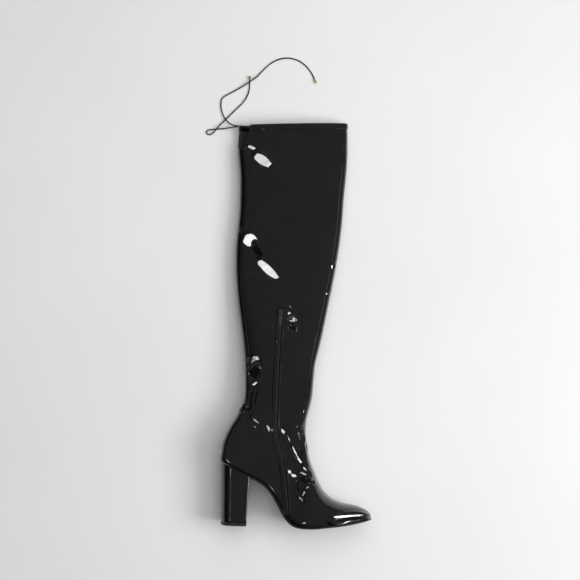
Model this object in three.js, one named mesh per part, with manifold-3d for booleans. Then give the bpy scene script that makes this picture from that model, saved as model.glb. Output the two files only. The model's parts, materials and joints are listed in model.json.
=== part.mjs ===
// A thigh-high block-heel boot for the left foot, in soft glossy sheet with an inner-side zip and a
// drawstring at the collar. It lies on its outer side with its slack leg flattened, inner side up.
// X runs from heel to toe, Y up the leg from the ground face of heel and sole, and Z up from the floor.
import * as THREE from 'three';
import { mergeVertices } from 'three/addons/utils/BufferGeometryUtils.js';
import Module from 'manifold-3d';

const wasm = await Module();
wasm.setup();

// Driving dimensions of the foot, in millimetres
const FOOT_LENGTH = 224; // back of the heel to the toe tip
const BALL_WIDTH = 79;
const COUNTER_WIDTH = 60; // widest part of the heel counter
const TOE_BOX_HEIGHT = 26; // upper over the sole at the toe box
const TOE_SPRING = 12; // sole's rise from the ball to the tip
const HEEL_HEIGHT = 95; // ground to the back of the seat
const ANKLE_HEIGHT = 205; // ground to the narrowest part of the leg

// Driving dimensions of the leg
const BOOT_HEIGHT = 600; // ground to the collar
const COLLAR_WIDTH = 163; // leg's flat width at the collar
const LEG_AXIS_X = 98; // leg's middle at the collar, in front of the heel's back
const LEG_DEPTH = 36; // how thick the slack leg lies

// Sheets, walls and clearances
const UPPER_WALL = 1.6;
const COUNTER_SHEET = 0.9;
const HEM_SHEET = 1.2;
const GAP = 0.3; // between two pieces that meet

// Sole, heel and insole
const OUTSOLE_THICKNESS = 2.4;
const SOLE_EDGE = 1.6; // how far the sole stands out of the feather line
const SOLE_BEVEL = 0.8;
const INSOLE_THICKNESS = 2.2;
const LASTING_MARGIN = 12; // upper turned in under the insole
const HEEL_SEAT_LENGTH = 44.4;
const HEEL_OVERHANG = 1.5; // seat's back, behind the heel's foot
const HEEL_SEAT_WIDTH = 52;
const HEEL_BASE_LENGTH = 39.5;
const HEEL_BASE_WIDTH = 48;
const TOP_PIECE_THICKNESS = 5;
const TOP_PIECE_INSET = 0.6;

// Collar, back slit and drawstring
const HEM_HEIGHT = 9.5;
const SLIT_DEPTH = 33;
const SLIT_WIDTH = 15;
const CORD_DIAMETER = 2;
const TIP_DIAMETER = 3.8;
const TIP_LENGTH = 6;

// Zip
const ZIP_SLOT_WIDTH = 9;
const ZIP_TAPE_THICKNESS = 1.2;
const ZIP_TAPE_DROP = 0.4; // tape's face under the upper's face
const ZIP_CHAIN_WIDTH = 4;
const ZIP_CHAIN_RISE = 1.1; // chain over the tape
const SLIDER_WIDTH = 7.6;
const SLIDER_LENGTH = 11;
const SLIDER_THICKNESS = 2.6;
const PIN_RADIUS = 0.7;
const PIN_RISE = 2.9; // pin's centre over the slider's top face
const PULL_LENGTH = 21;
const PULL_WIDTH = 5;
const PULL_THICKNESS = 1.2;
const RUNNING_GAP = 0.45; // between pull and slider
const PULL_REST_TILT = 11; // degrees that the resting pull leans down to the zip

const SOLE_TOP = OUTSOLE_THICKNESS + GAP;

// Sections of the upper, toe to collar. Each lies in a plane through a point on the front line (front)
// and one on the sole or back line (low). Its half widths, its widest place as a share of the way from
// low to front, its flat at low as a share of the half width, and the powers that square off its sides.

// Toe rows: X in foot lengths, low as a share of the toe spring, rise over low in toe box heights
const TOE_ROWS = [
  { frontX: 0.997, lowX: 0.9965, low: 1.01, rise: 0.16, half: 0.13, flat: 0.75, swing: 0.075 },
  { frontX: 0.99, lowX: 0.9866, low: 0.975, rise: 0.31, half: 0.27, flat: 0.82, swing: 0.071 },
  { frontX: 0.972, lowX: 0.9665, low: 0.91, rise: 0.477, half: 0.415, flat: 0.87, swing: 0.064 },
  { frontX: 0.9375, lowX: 0.931, low: 0.775, rise: 0.688, half: 0.57, flat: 0.9, swing: 0.055 },
  { frontX: 0.884, lowX: 0.875, low: 0.59, rise: 0.908, half: 0.729, flat: 0.93, swing: 0.041 },
  { frontX: 0.821, lowX: 0.8125, low: 0.41, rise: 1.085, half: 0.85, flat: 0.945, swing: 0.026 },
  { frontX: 0.763, lowX: 0.748, low: 0.265, rise: 1.31, half: 0.937, flat: 0.955, swing: 0.013 },
  { frontX: 0.714, lowX: 0.679, low: 0.12, rise: 1.645, half: 0.987, flat: 0.96, swing: 0.004 },
];

// Foot rows: X in foot lengths, front in ankle heights, low as a share of the heel height
const FOOT_ROWS = [
  { frontX: 0.674, lowX: 0.612, front: 0.278, low: 0.001, half: 1, widest: 0.33, flat: 0.96, swing: 0 },
  { frontX: 0.643, lowX: 0.545, front: 0.342, low: 0.001, half: 0.977, widest: 0.32, flat: 0.945, swing: -0.006 },
  { frontX: 0.613, lowX: 0.482, front: 0.42, low: 0.034, half: 0.916, widest: 0.31, flat: 0.91, swing: -0.014 },
  { frontX: 0.588, lowX: 0.426, front: 0.493, low: 0.17, half: 0.84, widest: 0.31, flat: 0.86, swing: -0.02 },
  { frontX: 0.573, lowX: 0.37, front: 0.566, low: 0.404, half: 0.78, widest: 0.32, flat: 0.83, swing: -0.022 },
  { frontX: 0.564, lowX: 0.304, front: 0.634, low: 0.606, half: 0.742, widest: 0.33, flat: 0.83, swing: -0.018 },
  { frontX: 0.56, lowX: 0.23, front: 0.698, low: 0.716, half: 0.734, widest: 0.34, flat: 0.84, swing: -0.01 },
  { frontX: 0.563, lowX: 0.147, front: 0.761, low: 0.808, half: 0.742, widest: 0.35, flat: 0.84, swing: -0.004 },
  { frontX: 0.572, lowX: 0.0625, front: 0.81, low: 0.898, half: 0.754, widest: 0.36, flat: 0.78, swing: 0 },
  { frontX: 0.582, lowX: 0.0015, front: 0.849, low: 0.972, half: 0.759, widest: 0.37, flat: 0.6, swing: 0 },
];

// Ankle rows: X in foot lengths, front in ankle heights, low as a share of the rise from seat to ankle
const ANKLE_ROWS = [
  { frontX: 0.588, lowX: -0.002, front: 0.878, low: 0.1, half: 0.759, widest: 0.38, flat: 0.42, centre: 1 },
  { frontX: 0.594, lowX: 0.006, front: 0.907, low: 0.227, half: 0.747, widest: 0.4, flat: 0.33, centre: 1 },
  { frontX: 0.598, lowX: 0.028, front: 0.937, low: 0.364, half: 0.722, widest: 0.42, flat: 0.28, centre: 1 },
  { frontX: 0.601, lowX: 0.064, front: 0.968, low: 0.509, half: 0.684, widest: 0.44, flat: 0.25, centre: 0.995 },
  { frontX: 0.603, lowX: 0.109, front: 1.005, low: 0.6545, half: 0.646, widest: 0.45, flat: 0.23, centre: 0.98 },
  { frontX: 0.605, lowX: 0.138, front: 1.044, low: 0.827, half: 0.608, widest: 0.46, flat: 0.21, centre: 0.96 },
  { frontX: 0.6085, lowX: 0.144, front: 1.102, low: 1, half: 0.582, widest: 0.47, flat: 0.2, centre: 0.93 },
  { frontX: 0.618, lowX: 0.141, front: 1.19, low: 1.236, half: 0.565, widest: 0.48, flat: 0.19, centre: 0.895 },
];

// Leg rows: heights as shares of the way from ankle to collar, X in collar widths from the leg's axis,
// and depths in leg depths: the middle over the floor, the half over it and the half under it
const LEG_ROWS = [
  { front: 0.1595, low: 0.134, frontX: 0.282, lowX: -0.42, middle: 0.74, over: 0.6, under: 0.62 },
  { front: 0.2405, low: 0.233, frontX: 0.3215, lowX: -0.451, middle: 0.68, over: 0.575, under: 0.59 },
  { front: 0.342, low: 0.337, frontX: 0.3675, lowX: -0.488, middle: 0.61, over: 0.545, under: 0.568 },
  { front: 0.448, low: 0.4455, frontX: 0.413, lowX: -0.51, middle: 0.556, over: 0.525, under: 0.545 },
  { front: 0.549, low: 0.547, frontX: 0.448, lowX: -0.509, middle: 0.53, over: 0.51, under: 0.53 },
  { front: 0.6455, low: 0.6405, frontX: 0.47, lowX: -0.49, middle: 0.515, over: 0.5, under: 0.515 },
  { front: 0.734, low: 0.724, frontX: 0.4815, lowX: -0.484, middle: 0.5, over: 0.486, under: 0.5 },
  { front: 0.823, low: 0.8125, frontX: 0.499, lowX: -0.488, middle: 0.488, over: 0.467, under: 0.483 },
  { front: 0.8985, low: 0.891, frontX: 0.504, lowX: -0.506, middle: 0.48, over: 0.435, under: 0.462 },
  { front: 0.962, low: 0.9495, frontX: 0.502, lowX: -0.502, middle: 0.474, over: 0.4, under: 0.43 },
  { front: 1.0095, low: 0.996, frontX: 0.493, lowX: -0.492, middle: 0.47, over: 0.378, under: 0.42 },
];

// Where the toe's and the leg's sections are widest and flat, and how square each part's sides are
const TOE_WIDEST = 0.36;
const TOE_POWER = 2.1;
const FOOT_POWER = 1.9;
const ANKLE_POWER = 2.2;
const LEG_WIDEST = 0.5;
const LEG_FLAT = 0.2;
const LEG_POWER_OVER = 3;
const LEG_POWER_UNDER = 3.6;

const BALL_X = 0.6 * FOOT_LENGTH;

// Height of the middle of the counter over the floor, with the counter's sheet touching the floor
const COUNTER_MIDDLE = COUNTER_WIDTH / 2 + GAP + COUNTER_SHEET;

// Height of the foot's middle plane over the floor: counter and ball both touch the floor
function footMiddle(x) {
  const share = Math.min(x, BALL_X) / BALL_X;
  return COUNTER_MIDDLE + share * (BALL_WIDTH / 2 - COUNTER_MIDDLE);
}

function toeSection(row) {
  const low = SOLE_TOP + row.low * TOE_SPRING;
  const half = (row.half * BALL_WIDTH) / 2;
  return {
    frontX: row.frontX * FOOT_LENGTH,
    frontY: low + row.rise * TOE_BOX_HEIGHT,
    lowX: row.lowX * FOOT_LENGTH,
    lowY: low,
    middle: footMiddle(row.lowX * FOOT_LENGTH) + row.swing * BALL_WIDTH,
    over: half,
    under: half,
    widest: TOE_WIDEST,
    flat: row.flat,
    powerOver: TOE_POWER,
    powerUnder: TOE_POWER,
  };
}

function footSection(row) {
  const half = (row.half * BALL_WIDTH) / 2;
  const lowX = row.lowX * FOOT_LENGTH;
  return {
    frontX: row.frontX * FOOT_LENGTH,
    frontY: row.front * ANKLE_HEIGHT,
    lowX,
    lowY: SOLE_TOP + row.low * HEEL_HEIGHT,
    middle: footMiddle(lowX) + row.swing * BALL_WIDTH,
    over: half,
    under: half,
    widest: row.widest,
    flat: row.flat,
    powerOver: FOOT_POWER,
    powerUnder: FOOT_POWER,
  };
}

function ankleSection(row) {
  const half = (row.half * BALL_WIDTH) / 2;
  return {
    frontX: row.frontX * FOOT_LENGTH,
    frontY: row.front * ANKLE_HEIGHT,
    lowX: row.lowX * FOOT_LENGTH,
    lowY: HEEL_HEIGHT + row.low * (ANKLE_HEIGHT - HEEL_HEIGHT),
    middle: row.centre * COUNTER_MIDDLE,
    over: half,
    under: half,
    widest: row.widest,
    flat: row.flat,
    powerOver: ANKLE_POWER,
    powerUnder: ANKLE_POWER,
  };
}

function legSection(row) {
  const rise = BOOT_HEIGHT - ANKLE_HEIGHT;
  return {
    frontX: LEG_AXIS_X + row.frontX * COLLAR_WIDTH,
    frontY: ANKLE_HEIGHT + row.front * rise,
    lowX: LEG_AXIS_X + row.lowX * COLLAR_WIDTH,
    lowY: ANKLE_HEIGHT + row.low * rise,
    middle: row.middle * LEG_DEPTH,
    over: row.over * LEG_DEPTH,
    under: row.under * LEG_DEPTH,
    widest: LEG_WIDEST,
    flat: LEG_FLAT,
    powerOver: LEG_POWER_OVER,
    powerUnder: LEG_POWER_UNDER,
  };
}

const SECTIONS = [
  ...TOE_ROWS.map(toeSection),
  ...FOOT_ROWS.map(footSection),
  ...ANKLE_ROWS.map(ankleSection),
  ...LEG_ROWS.map(legSection),
];
const LAST = SECTIONS.length - 1;
const COLUMNS = Object.keys(SECTIONS[0]);

// Places along the upper, in section numbers
const TOE_END_T = TOE_ROWS.length - 1;
const SEAT_BACK_T = TOE_END_T + FOOT_ROWS.length;
const INNER_START_T = TOE_END_T - 5.5; // tip of the upper's inside
const INSOLE_TIP_T = TOE_END_T - 4.5;
const SOLE_OPENING_TIP_T = TOE_END_T - 3;
const WAIST_T = SEAT_BACK_T - 5.2;
const BREAST_T = SEAT_BACK_T - 2.5;

// Second derivatives of a natural cubic spline through values one apart
function splineBends(values) {
  const n = values.length;
  const upper = new Array(n).fill(0);
  const bends = new Array(n).fill(0);
  for (let i = 1; i < n - 1; i++) {
    const pull = 6 * (values[i + 1] - 2 * values[i] + values[i - 1]);
    const pivot = 4 - upper[i - 1];
    upper[i] = 1 / pivot;
    bends[i] = (pull - bends[i - 1]) / pivot;
  }
  for (let i = n - 2; i > 0; i--) bends[i] -= upper[i] * bends[i + 1];
  return bends;
}

const BENDS = {};
for (const column of COLUMNS) BENDS[column] = splineBends(SECTIONS.map((section) => section[column]));

// The section at any place t along the upper
function sectionAt(t) {
  const i = Math.min(Math.max(Math.floor(t), 0), LAST - 1);
  const b = t - i;
  const a = 1 - b;
  const section = {};
  for (const column of COLUMNS) {
    const bends = BENDS[column];
    section[column] =
      a * SECTIONS[i][column] +
      b * SECTIONS[i + 1][column] +
      ((a ** 3 - a) * bends[i] + (b ** 3 - b) * bends[i + 1]) / 6;
  }
  return section;
}

// Half width of a section at share u of the way from low to front, over or under the middle
function halfWidthAt(section, u, side) {
  const half = side === 'over' ? section.over : section.under;
  const power = side === 'over' ? section.powerOver : section.powerUnder;
  if (u >= section.widest) {
    const t = (u - section.widest) / (1 - section.widest);
    return half * Math.sqrt(Math.max(0, 1 - t ** power));
  }
  const t = (section.widest - u) / section.widest;
  const flat2 = section.flat ** 2;
  return half * Math.sqrt(flat2 + (1 - flat2) * Math.max(0, 1 - t ** power));
}

const FLAT_STEPS = 4;
const LOWER_STEPS = 4;
const UPPER_STEPS = 7;

// Shares u of one side of a section, from low to front, closest together at the folds
function sideShares(section, power) {
  const shares = [];
  for (let i = 0; i < LOWER_STEPS; i++) {
    const turn = (Math.PI / 2) * (1 - i / LOWER_STEPS);
    shares.push(section.widest * (1 - Math.sin(turn) ** (2 / power)));
  }
  for (let i = 0; i <= UPPER_STEPS; i++) {
    const turn = (Math.PI / 2) * (i / UPPER_STEPS);
    shares.push(section.widest + (1 - section.widest) * Math.sin(turn) ** (2 / power));
  }
  return shares;
}

// One closed section as [distance from low, height over the middle] pairs, moved outwards by offset
function sectionOutline(section, offset) {
  const length = Math.hypot(section.frontX - section.lowX, section.frontY - section.lowY);
  const points = [];
  const low = { over: halfWidthAt(section, 0, 'over'), under: halfWidthAt(section, 0, 'under') };
  for (let i = 0; i < FLAT_STEPS; i++) {
    points.push([0, low.over - ((low.over + low.under) * i) / FLAT_STEPS]);
  }
  for (const u of sideShares(section, section.powerUnder)) {
    points.push([u * length, -halfWidthAt(section, u, 'under')]);
  }
  const back = sideShares(section, section.powerOver).reverse().slice(1, -1);
  for (const u of back) points.push([u * length, halfWidthAt(section, u, 'over')]);
  return points.map((point, i) => {
    const before = points[(i + points.length - 1) % points.length];
    const after = points[(i + 1) % points.length];
    const n1 = sideNormal(before, point);
    const n2 = sideNormal(point, after);
    const spread = 1 + n1[0] * n2[0] + n1[1] * n2[1];
    return [point[0] + (offset * (n1[0] + n2[0])) / spread, point[1] + (offset * (n1[1] + n2[1])) / spread];
  });
}

// Outward unit normal of the edge from a to b, for an outline that runs low, under, front, over
function sideNormal(a, b) {
  const dx = b[0] - a[0];
  const dy = b[1] - a[1];
  const length = Math.hypot(dx, dy);
  return [dy / length, -dx / length];
}

function sectionRing(t, offset, lift = 0) {
  const section = sectionAt(t);
  const length = Math.hypot(section.frontX - section.lowX, section.frontY - section.lowY);
  const ux = (section.frontX - section.lowX) / length;
  const uy = (section.frontY - section.lowY) / length;
  return sectionOutline(section, offset).map(
    ([along, z]) =>
      new THREE.Vector3(
        section.lowX + ux * along - uy * lift,
        section.lowY + uy * along + ux * lift,
        section.middle + z,
      ),
  );
}

// A closed solid through rings of equal length, with a flat cap at each end
function loft(rings) {
  const count = rings[0].length;
  const positions = [];
  for (const ring of rings) for (const p of ring) positions.push(p.x, p.y, p.z);
  const faces = [];
  for (let r = 0; r < rings.length - 1; r++) {
    for (let i = 0; i < count; i++) {
      const j = (i + 1) % count;
      const a = r * count + i;
      const b = r * count + j;
      faces.push(a, b, b + count, a, b + count, a + count);
    }
  }
  for (const [r, flip] of [
    [0, true],
    [rings.length - 1, false],
  ]) {
    const centre = new THREE.Vector3();
    for (const p of rings[r]) centre.add(p);
    centre.divideScalar(count);
    const hub = positions.length / 3;
    positions.push(centre.x, centre.y, centre.z);
    for (let i = 0; i < count; i++) {
      const a = r * count + i;
      const b = r * count + ((i + 1) % count);
      if (flip) faces.push(hub, b, a);
      else faces.push(hub, a, b);
    }
  }
  const geometry = new THREE.BufferGeometry();
  geometry.setAttribute('position', new THREE.Float32BufferAttribute(positions, 3));
  geometry.setIndex(faces);
  return solidOf(geometry);
}

function solidOf(geometry) {
  const bare = geometry.clone();
  for (const name of Object.keys(bare.attributes)) if (name !== 'position') bare.deleteAttribute(name);
  const merged = mergeVertices(bare, 1e-4);
  const vertProperties = new Float32Array(merged.attributes.position.array);
  const triVerts = new Uint32Array(merged.index.array);
  const solid = new wasm.Manifold(new wasm.Mesh({ numProp: 3, vertProperties, triVerts }));
  if (solid.volume() > 0) return solid;
  for (let i = 0; i < triVerts.length; i += 3) {
    [triVerts[i + 1], triVerts[i + 2]] = [triVerts[i + 2], triVerts[i + 1]];
  }
  return new wasm.Manifold(new wasm.Mesh({ numProp: 3, vertProperties, triVerts }));
}

function geometryOf(solid) {
  const mesh = solid.getMesh();
  const stride = mesh.numProp;
  const positions = new Float32Array(mesh.numVert * 3);
  for (let i = 0; i < mesh.numVert; i++) {
    positions.set(mesh.vertProperties.subarray(i * stride, i * stride + 3), i * 3);
  }
  const geometry = new THREE.BufferGeometry();
  geometry.setAttribute('position', new THREE.BufferAttribute(positions, 3));
  geometry.setIndex(new THREE.BufferAttribute(new Uint32Array(mesh.triVerts), 1));
  geometry.computeVertexNormals();
  return geometry;
}

// Places of the sections that the solids are lofted through, twice as many round the foot and ankle
const FINE = [TOE_END_T - 1, SEAT_BACK_T + 7];
function stations(from, to) {
  const found = [from];
  for (let t = Math.floor(from) + 0.5; t < to; t += 0.5) {
    const whole = Number.isInteger(t);
    if (t > from && (whole || (t > FINE[0] && t < FINE[1]))) found.push(t);
  }
  found.push(to);
  return found;
}

// The upper's own form, moved outwards by offset and run on past the collar by extra
function upperForm(offset, extra = 0) {
  const from = offset < 0 ? INNER_START_T : 0;
  const rings = stations(from, LAST).map((t) => sectionRing(t, offset));
  if (extra > 0) rings.push(sectionRing(LAST, offset, extra));
  return loft(rings);
}

const THROUGH = BALL_WIDTH * 2; // more than the boot's thickness
const BEYOND = 40; // how far a cutting outline runs on past the boot

// A prism over an outline in the XY plane
function prism(outline, bottom = -THROUGH / 2, top = THROUGH) {
  const shape = new THREE.Shape(outline.map(([x, y]) => new THREE.Vector2(x, y)));
  const geometry = new THREE.ExtrudeGeometry(shape, { depth: top - bottom, bevelEnabled: false });
  geometry.translate(0, 0, bottom);
  return solidOf(geometry);
}

// Feather line: the lower line of the upper, with its outward normal and its flat's half width
function featherAt(t) {
  const STEP = 0.01;
  const here = sectionAt(t);
  const before = sectionAt(Math.max(t - STEP, 0));
  const after = sectionAt(t + STEP);
  const tangent = new THREE.Vector2(after.lowX - before.lowX, after.lowY - before.lowY).normalize();
  const normal = new THREE.Vector2(tangent.y, -tangent.x);
  const inwards = new THREE.Vector2(here.frontX - here.lowX, here.frontY - here.lowY);
  if (normal.dot(inwards) > 0) normal.negate();
  return { x: here.lowX, y: here.lowY, middle: here.middle, half: here.over * here.flat, normal };
}

// One cross-section of a plate that follows the feather line, between two depths outside it
function plateRing(t, half, inner, outer, bevel = 0, forward = 0) {
  const feather = featherAt(t);
  const at = (depth, z) =>
    new THREE.Vector3(
      feather.x + feather.normal.x * depth + forward,
      feather.y + feather.normal.y * depth,
      feather.middle + z,
    );
  return [
    at(inner, half),
    at(inner, half / 2),
    at(inner, -half / 2),
    at(inner, -half),
    at(outer - bevel, -half),
    at(outer, -half + bevel),
    at(outer, half - bevel),
    at(outer - bevel, half),
  ];
}

// Outsole from the toe to the breast of the heel
function makeOutsole() {
  const TIP_OVERHANG = 1.2;
  const TIP_HALF = 2.6;
  const halfAt = (t) => featherAt(t).half + SOLE_EDGE;
  const rings = [plateRing(0, TIP_HALF, GAP, GAP + OUTSOLE_THICKNESS, SOLE_BEVEL, TIP_OVERHANG)];
  for (let t = 0; t <= BREAST_T + 0.5; t += 0.5) {
    rings.push(plateRing(t, halfAt(t), GAP, GAP + OUTSOLE_THICKNESS, SOLE_BEVEL));
  }
  const breast = HEEL_SEAT_LENGTH - HEEL_OVERHANG + GAP;
  const behind = [
    [-BEYOND, 0],
    [breast, 0],
    [breast, HEEL_HEIGHT],
    [-BEYOND, HEEL_HEIGHT],
  ];
  return loft(rings).subtract(prism(behind));
}

// Insole inside the upper, on its turned-in margin
function makeInsole() {
  const SIDE_ROOM = 0.9;
  const inner = -UPPER_WALL - GAP;
  const rings = [];
  for (let t = INSOLE_TIP_T; t < SEAT_BACK_T; t += 0.5) {
    const half = featherAt(t).half - UPPER_WALL - SIDE_ROOM;
    rings.push(plateRing(t, half, inner - INSOLE_THICKNESS, inner));
  }
  return loft(rings);
}

// Opening under the insole, inside the lasting margin
function soleOpening() {
  const PAST = 0.6;
  const rings = [];
  for (let t = SOLE_OPENING_TIP_T; t < SEAT_BACK_T; t += 0.5) {
    const half = featherAt(t).half - LASTING_MARGIN;
    rings.push(plateRing(t, half, -UPPER_WALL - PAST, PAST));
  }
  return loft(rings);
}

// Heights of the feather line over X, between the breast and the back of the seat
function seatHeight(x) {
  let low = BREAST_T - 1;
  let high = SEAT_BACK_T;
  for (let i = 0; i < 40; i++) {
    const t = (low + high) / 2;
    if (featherAt(t).x > x) low = t;
    else high = t;
  }
  return featherAt((low + high) / 2).y;
}

const BACK_ROUND_SHARE = 0.55; // of the block's length, taken by its rounded back
const BACK_ROUND_POWER = 2.3;

// Half width of the block's D outline at share s of its length, from the back
function blockHalf(s, width) {
  if (s >= BACK_ROUND_SHARE) return width / 2;
  const t = 1 - s / BACK_ROUND_SHARE;
  return (width / 2) * Math.sqrt(Math.max(0, 1 - t ** BACK_ROUND_POWER));
}

const BLOCK_SHARES = [0.004, 0.03, 0.08, 0.16, 0.28, 0.42, BACK_ROUND_SHARE, 0.78, 1];

// One level of the block, as a ring up one side and down the other
function blockRing(level, topAt, inset) {
  const length = HEEL_BASE_LENGTH + (HEEL_SEAT_LENGTH - HEEL_BASE_LENGTH) * level;
  const width = HEEL_BASE_WIDTH + (HEEL_SEAT_WIDTH - HEEL_BASE_WIDTH) * level;
  const side = (sign) =>
    BLOCK_SHARES.map((s) => {
      const x = s * length - HEEL_OVERHANG * level - inset * (2 * s - 1);
      const half = blockHalf(s, width - 2 * inset);
      return new THREE.Vector3(x, topAt(x), footMiddle(x) + sign * half);
    });
  return [...side(1), ...side(-1).reverse()];
}

// A solid between a lower and an upper D outline, with caps made of strips across the block
function blockSolid(levels) {
  const rings = levels.map(([level, topAt, inset]) => blockRing(level, topAt, inset));
  const count = rings[0].length;
  const positions = [];
  for (const ring of rings) for (const p of ring) positions.push(p.x, p.y, p.z);
  const faces = [];
  for (let r = 0; r < rings.length - 1; r++) {
    for (let i = 0; i < count; i++) {
      const a = r * count + i;
      const b = r * count + ((i + 1) % count);
      faces.push(a, b, b + count, a, b + count, a + count);
    }
  }
  const capStart = (rings.length - 1) * count;
  for (let i = 0; i < count / 2 - 1; i++) {
    const j = count - 1 - i;
    const a = capStart + i;
    const b = capStart + j;
    faces.push(i, j, i + 1, i + 1, j, j - 1);
    faces.push(a, a + 1, b, a + 1, b - 1, b);
  }
  const geometry = new THREE.BufferGeometry();
  geometry.setAttribute('position', new THREE.Float32BufferAttribute(positions, 3));
  geometry.setIndex(faces);
  return solidOf(geometry);
}

function makeHeelBlock() {
  const base = TOP_PIECE_THICKNESS + GAP;
  const seatGap = GAP * 1.3; // upright, under the sloping seat
  const LEVELS = 5;
  const levels = [];
  for (let i = 0; i <= LEVELS; i++) {
    const level = i / LEVELS;
    const topAt = (x) => base + (seatHeight(x) - seatGap - base) * level;
    levels.push([level, topAt, 0]);
  }
  return blockSolid(levels);
}

function makeTopPiece() {
  return blockSolid([
    [0, () => 0, TOP_PIECE_INSET],
    [0, () => TOP_PIECE_THICKNESS, TOP_PIECE_INSET],
  ]);
}

// Place (t, u) of a point of the XY plane on the upper: its section, and its share from low to front
function placeOf(x, y) {
  const side = (t) => {
    const s = sectionAt(t);
    return (s.frontX - s.lowX) * (y - s.lowY) - (s.frontY - s.lowY) * (x - s.lowX);
  };
  let low = 0;
  let high = LAST;
  for (let i = 0; i < 50; i++) {
    const t = (low + high) / 2;
    if (side(t) > 0) low = t;
    else high = t;
  }
  const t = (low + high) / 2;
  const s = sectionAt(t);
  const span = [s.frontX - s.lowX, s.frontY - s.lowY];
  const u = ((x - s.lowX) * span[0] + (y - s.lowY) * span[1]) / (span[0] ** 2 + span[1] ** 2);
  return { t, u: Math.min(Math.max(u, 0), 1), section: s };
}

// Point of the upper's outer face over the middle (inner side of the leg) at a point of the XY plane
function overPoint(x, y) {
  const { u, section } = placeOf(x, y);
  return new THREE.Vector3(x, y, section.middle + halfWidthAt(section, u, 'over'));
}

function overNormal(x, y) {
  const step = 1;
  const dx = overPoint(x + step, y).sub(overPoint(x - step, y));
  const dy = overPoint(x, y + step).sub(overPoint(x, y - step));
  return dx.cross(dy).normalize();
}

// The zip's line on the inner side, from its top to the sole: X in foot lengths, Y as a share of the
// zip's top height
const ZIP_TOP = 325;
const ZIP_ROWS = [
  { x: 0.3786, y: 1 },
  { x: 0.3714, y: 0.86 },
  { x: 0.3616, y: 0.713 },
  { x: 0.3585, y: 0.5655 },
  { x: 0.3612, y: 0.455 },
  { x: 0.3795, y: 0.374 },
  { x: 0.409, y: 0.2865 },
  { x: 0.427, y: 0.198 },
  { x: 0.439, y: 0.11 },
  { x: 0.443, y: 0.062 },
];

const ZIP_LINE = new THREE.CatmullRomCurve3(
  ZIP_ROWS.map((row) => new THREE.Vector3(row.x * FOOT_LENGTH, row.y * ZIP_TOP, 0)),
  false,
  'centripetal',
);

// Point, direction down the zip, across and out of the leg at a share of the zip's length
function zipFrame(share) {
  const flat = ZIP_LINE.getPointAt(share);
  const ahead = ZIP_LINE.getTangentAt(share);
  const point = overPoint(flat.x, flat.y);
  const normal = overNormal(flat.x, flat.y);
  const down = ahead.clone().addScaledVector(normal, -ahead.dot(normal)).normalize();
  const across = new THREE.Vector3().crossVectors(normal, down).normalize();
  return { point, normal, down, across };
}

const ZIP_STEPS = 30;

// A bar along the zip with one cross-section, given as [across, out] pairs
function alongZip(profile, from, to, steps) {
  const rings = [];
  for (let i = 0; i <= steps; i++) {
    const frame = zipFrame(from + ((to - from) * i) / steps);
    rings.push(
      profile.map(([across, out]) =>
        frame.point.clone().addScaledVector(frame.across, across).addScaledVector(frame.normal, out),
      ),
    );
  }
  return loft(rings);
}

function zipSlot() {
  const half = ZIP_SLOT_WIDTH / 2;
  const DEEP = 3;
  return alongZip(
    [
      [-half, DEEP],
      [-half, -DEEP],
      [half, -DEEP],
      [half, DEEP],
    ],
    0,
    1,
    ZIP_STEPS,
  );
}

// Tape and coil chain of the zip as one strip
function makeZipStrip() {
  const half = ZIP_SLOT_WIDTH / 2 - GAP;
  const chain = ZIP_CHAIN_WIDTH / 2;
  const crest = chain * 0.8; // half width of the chain's flat top
  const face = -ZIP_TAPE_DROP;
  const END_SHARE = 0.0025; // of the zip's length, clear at each end
  return alongZip(
    [
      [-half, face],
      [-half, face - ZIP_TAPE_THICKNESS],
      [half, face - ZIP_TAPE_THICKNESS],
      [half, face],
      [chain, face],
      [crest, face + ZIP_CHAIN_RISE],
      [-crest, face + ZIP_CHAIN_RISE],
      [-chain, face],
    ],
    END_SHARE,
    1 - END_SHARE,
    ZIP_STEPS,
  );
}

const COLLAR = sectionAt(LAST);
const collarDirection = new THREE.Vector2(
  COLLAR.frontX - COLLAR.lowX,
  COLLAR.frontY - COLLAR.lowY,
).normalize();

// A point given by its distance in from the collar's back corner and down from the collar's line
function fromCollar(inwards, down) {
  return [
    COLLAR.lowX + collarDirection.x * inwards + collarDirection.y * down,
    COLLAR.lowY + collarDirection.y * inwards - collarDirection.x * down,
  ];
}

// The slit at the back of the collar, through the layer that lies on top
function slitCut() {
  const SLIT_SLANT = 1.5;
  const BEND_SHARE = 0.85; // of the slit's depth, down to where its edge turns in
  const FLOOR_SIDE = 1; // how far the cut reaches under the collar's middle
  return prism(
    [
      fromCollar(-BEYOND, -BEYOND),
      fromCollar(SLIT_WIDTH, -BEYOND),
      fromCollar(SLIT_WIDTH, 0),
      fromCollar(SLIT_WIDTH - SLIT_SLANT, SLIT_DEPTH * BEND_SHARE),
      fromCollar(SLIT_WIDTH - 2 * SLIT_SLANT, SLIT_DEPTH),
      fromCollar(-BEYOND, SLIT_DEPTH),
    ],
    COLLAR.middle - FLOOR_SIDE,
  );
}

function makeHem() {
  const shell = upperForm(GAP + HEM_SHEET, BEYOND).subtract(upperForm(GAP, BEYOND * 1.2));
  const wide = COLLAR_WIDTH + BEYOND;
  const band = prism([
    fromCollar(-BEYOND, 0),
    fromCollar(-BEYOND, HEM_HEIGHT),
    fromCollar(wide, HEM_HEIGHT),
    fromCollar(wide, 0),
  ]);
  return shell.intersect(band).subtract(slitCut());
}

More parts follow.
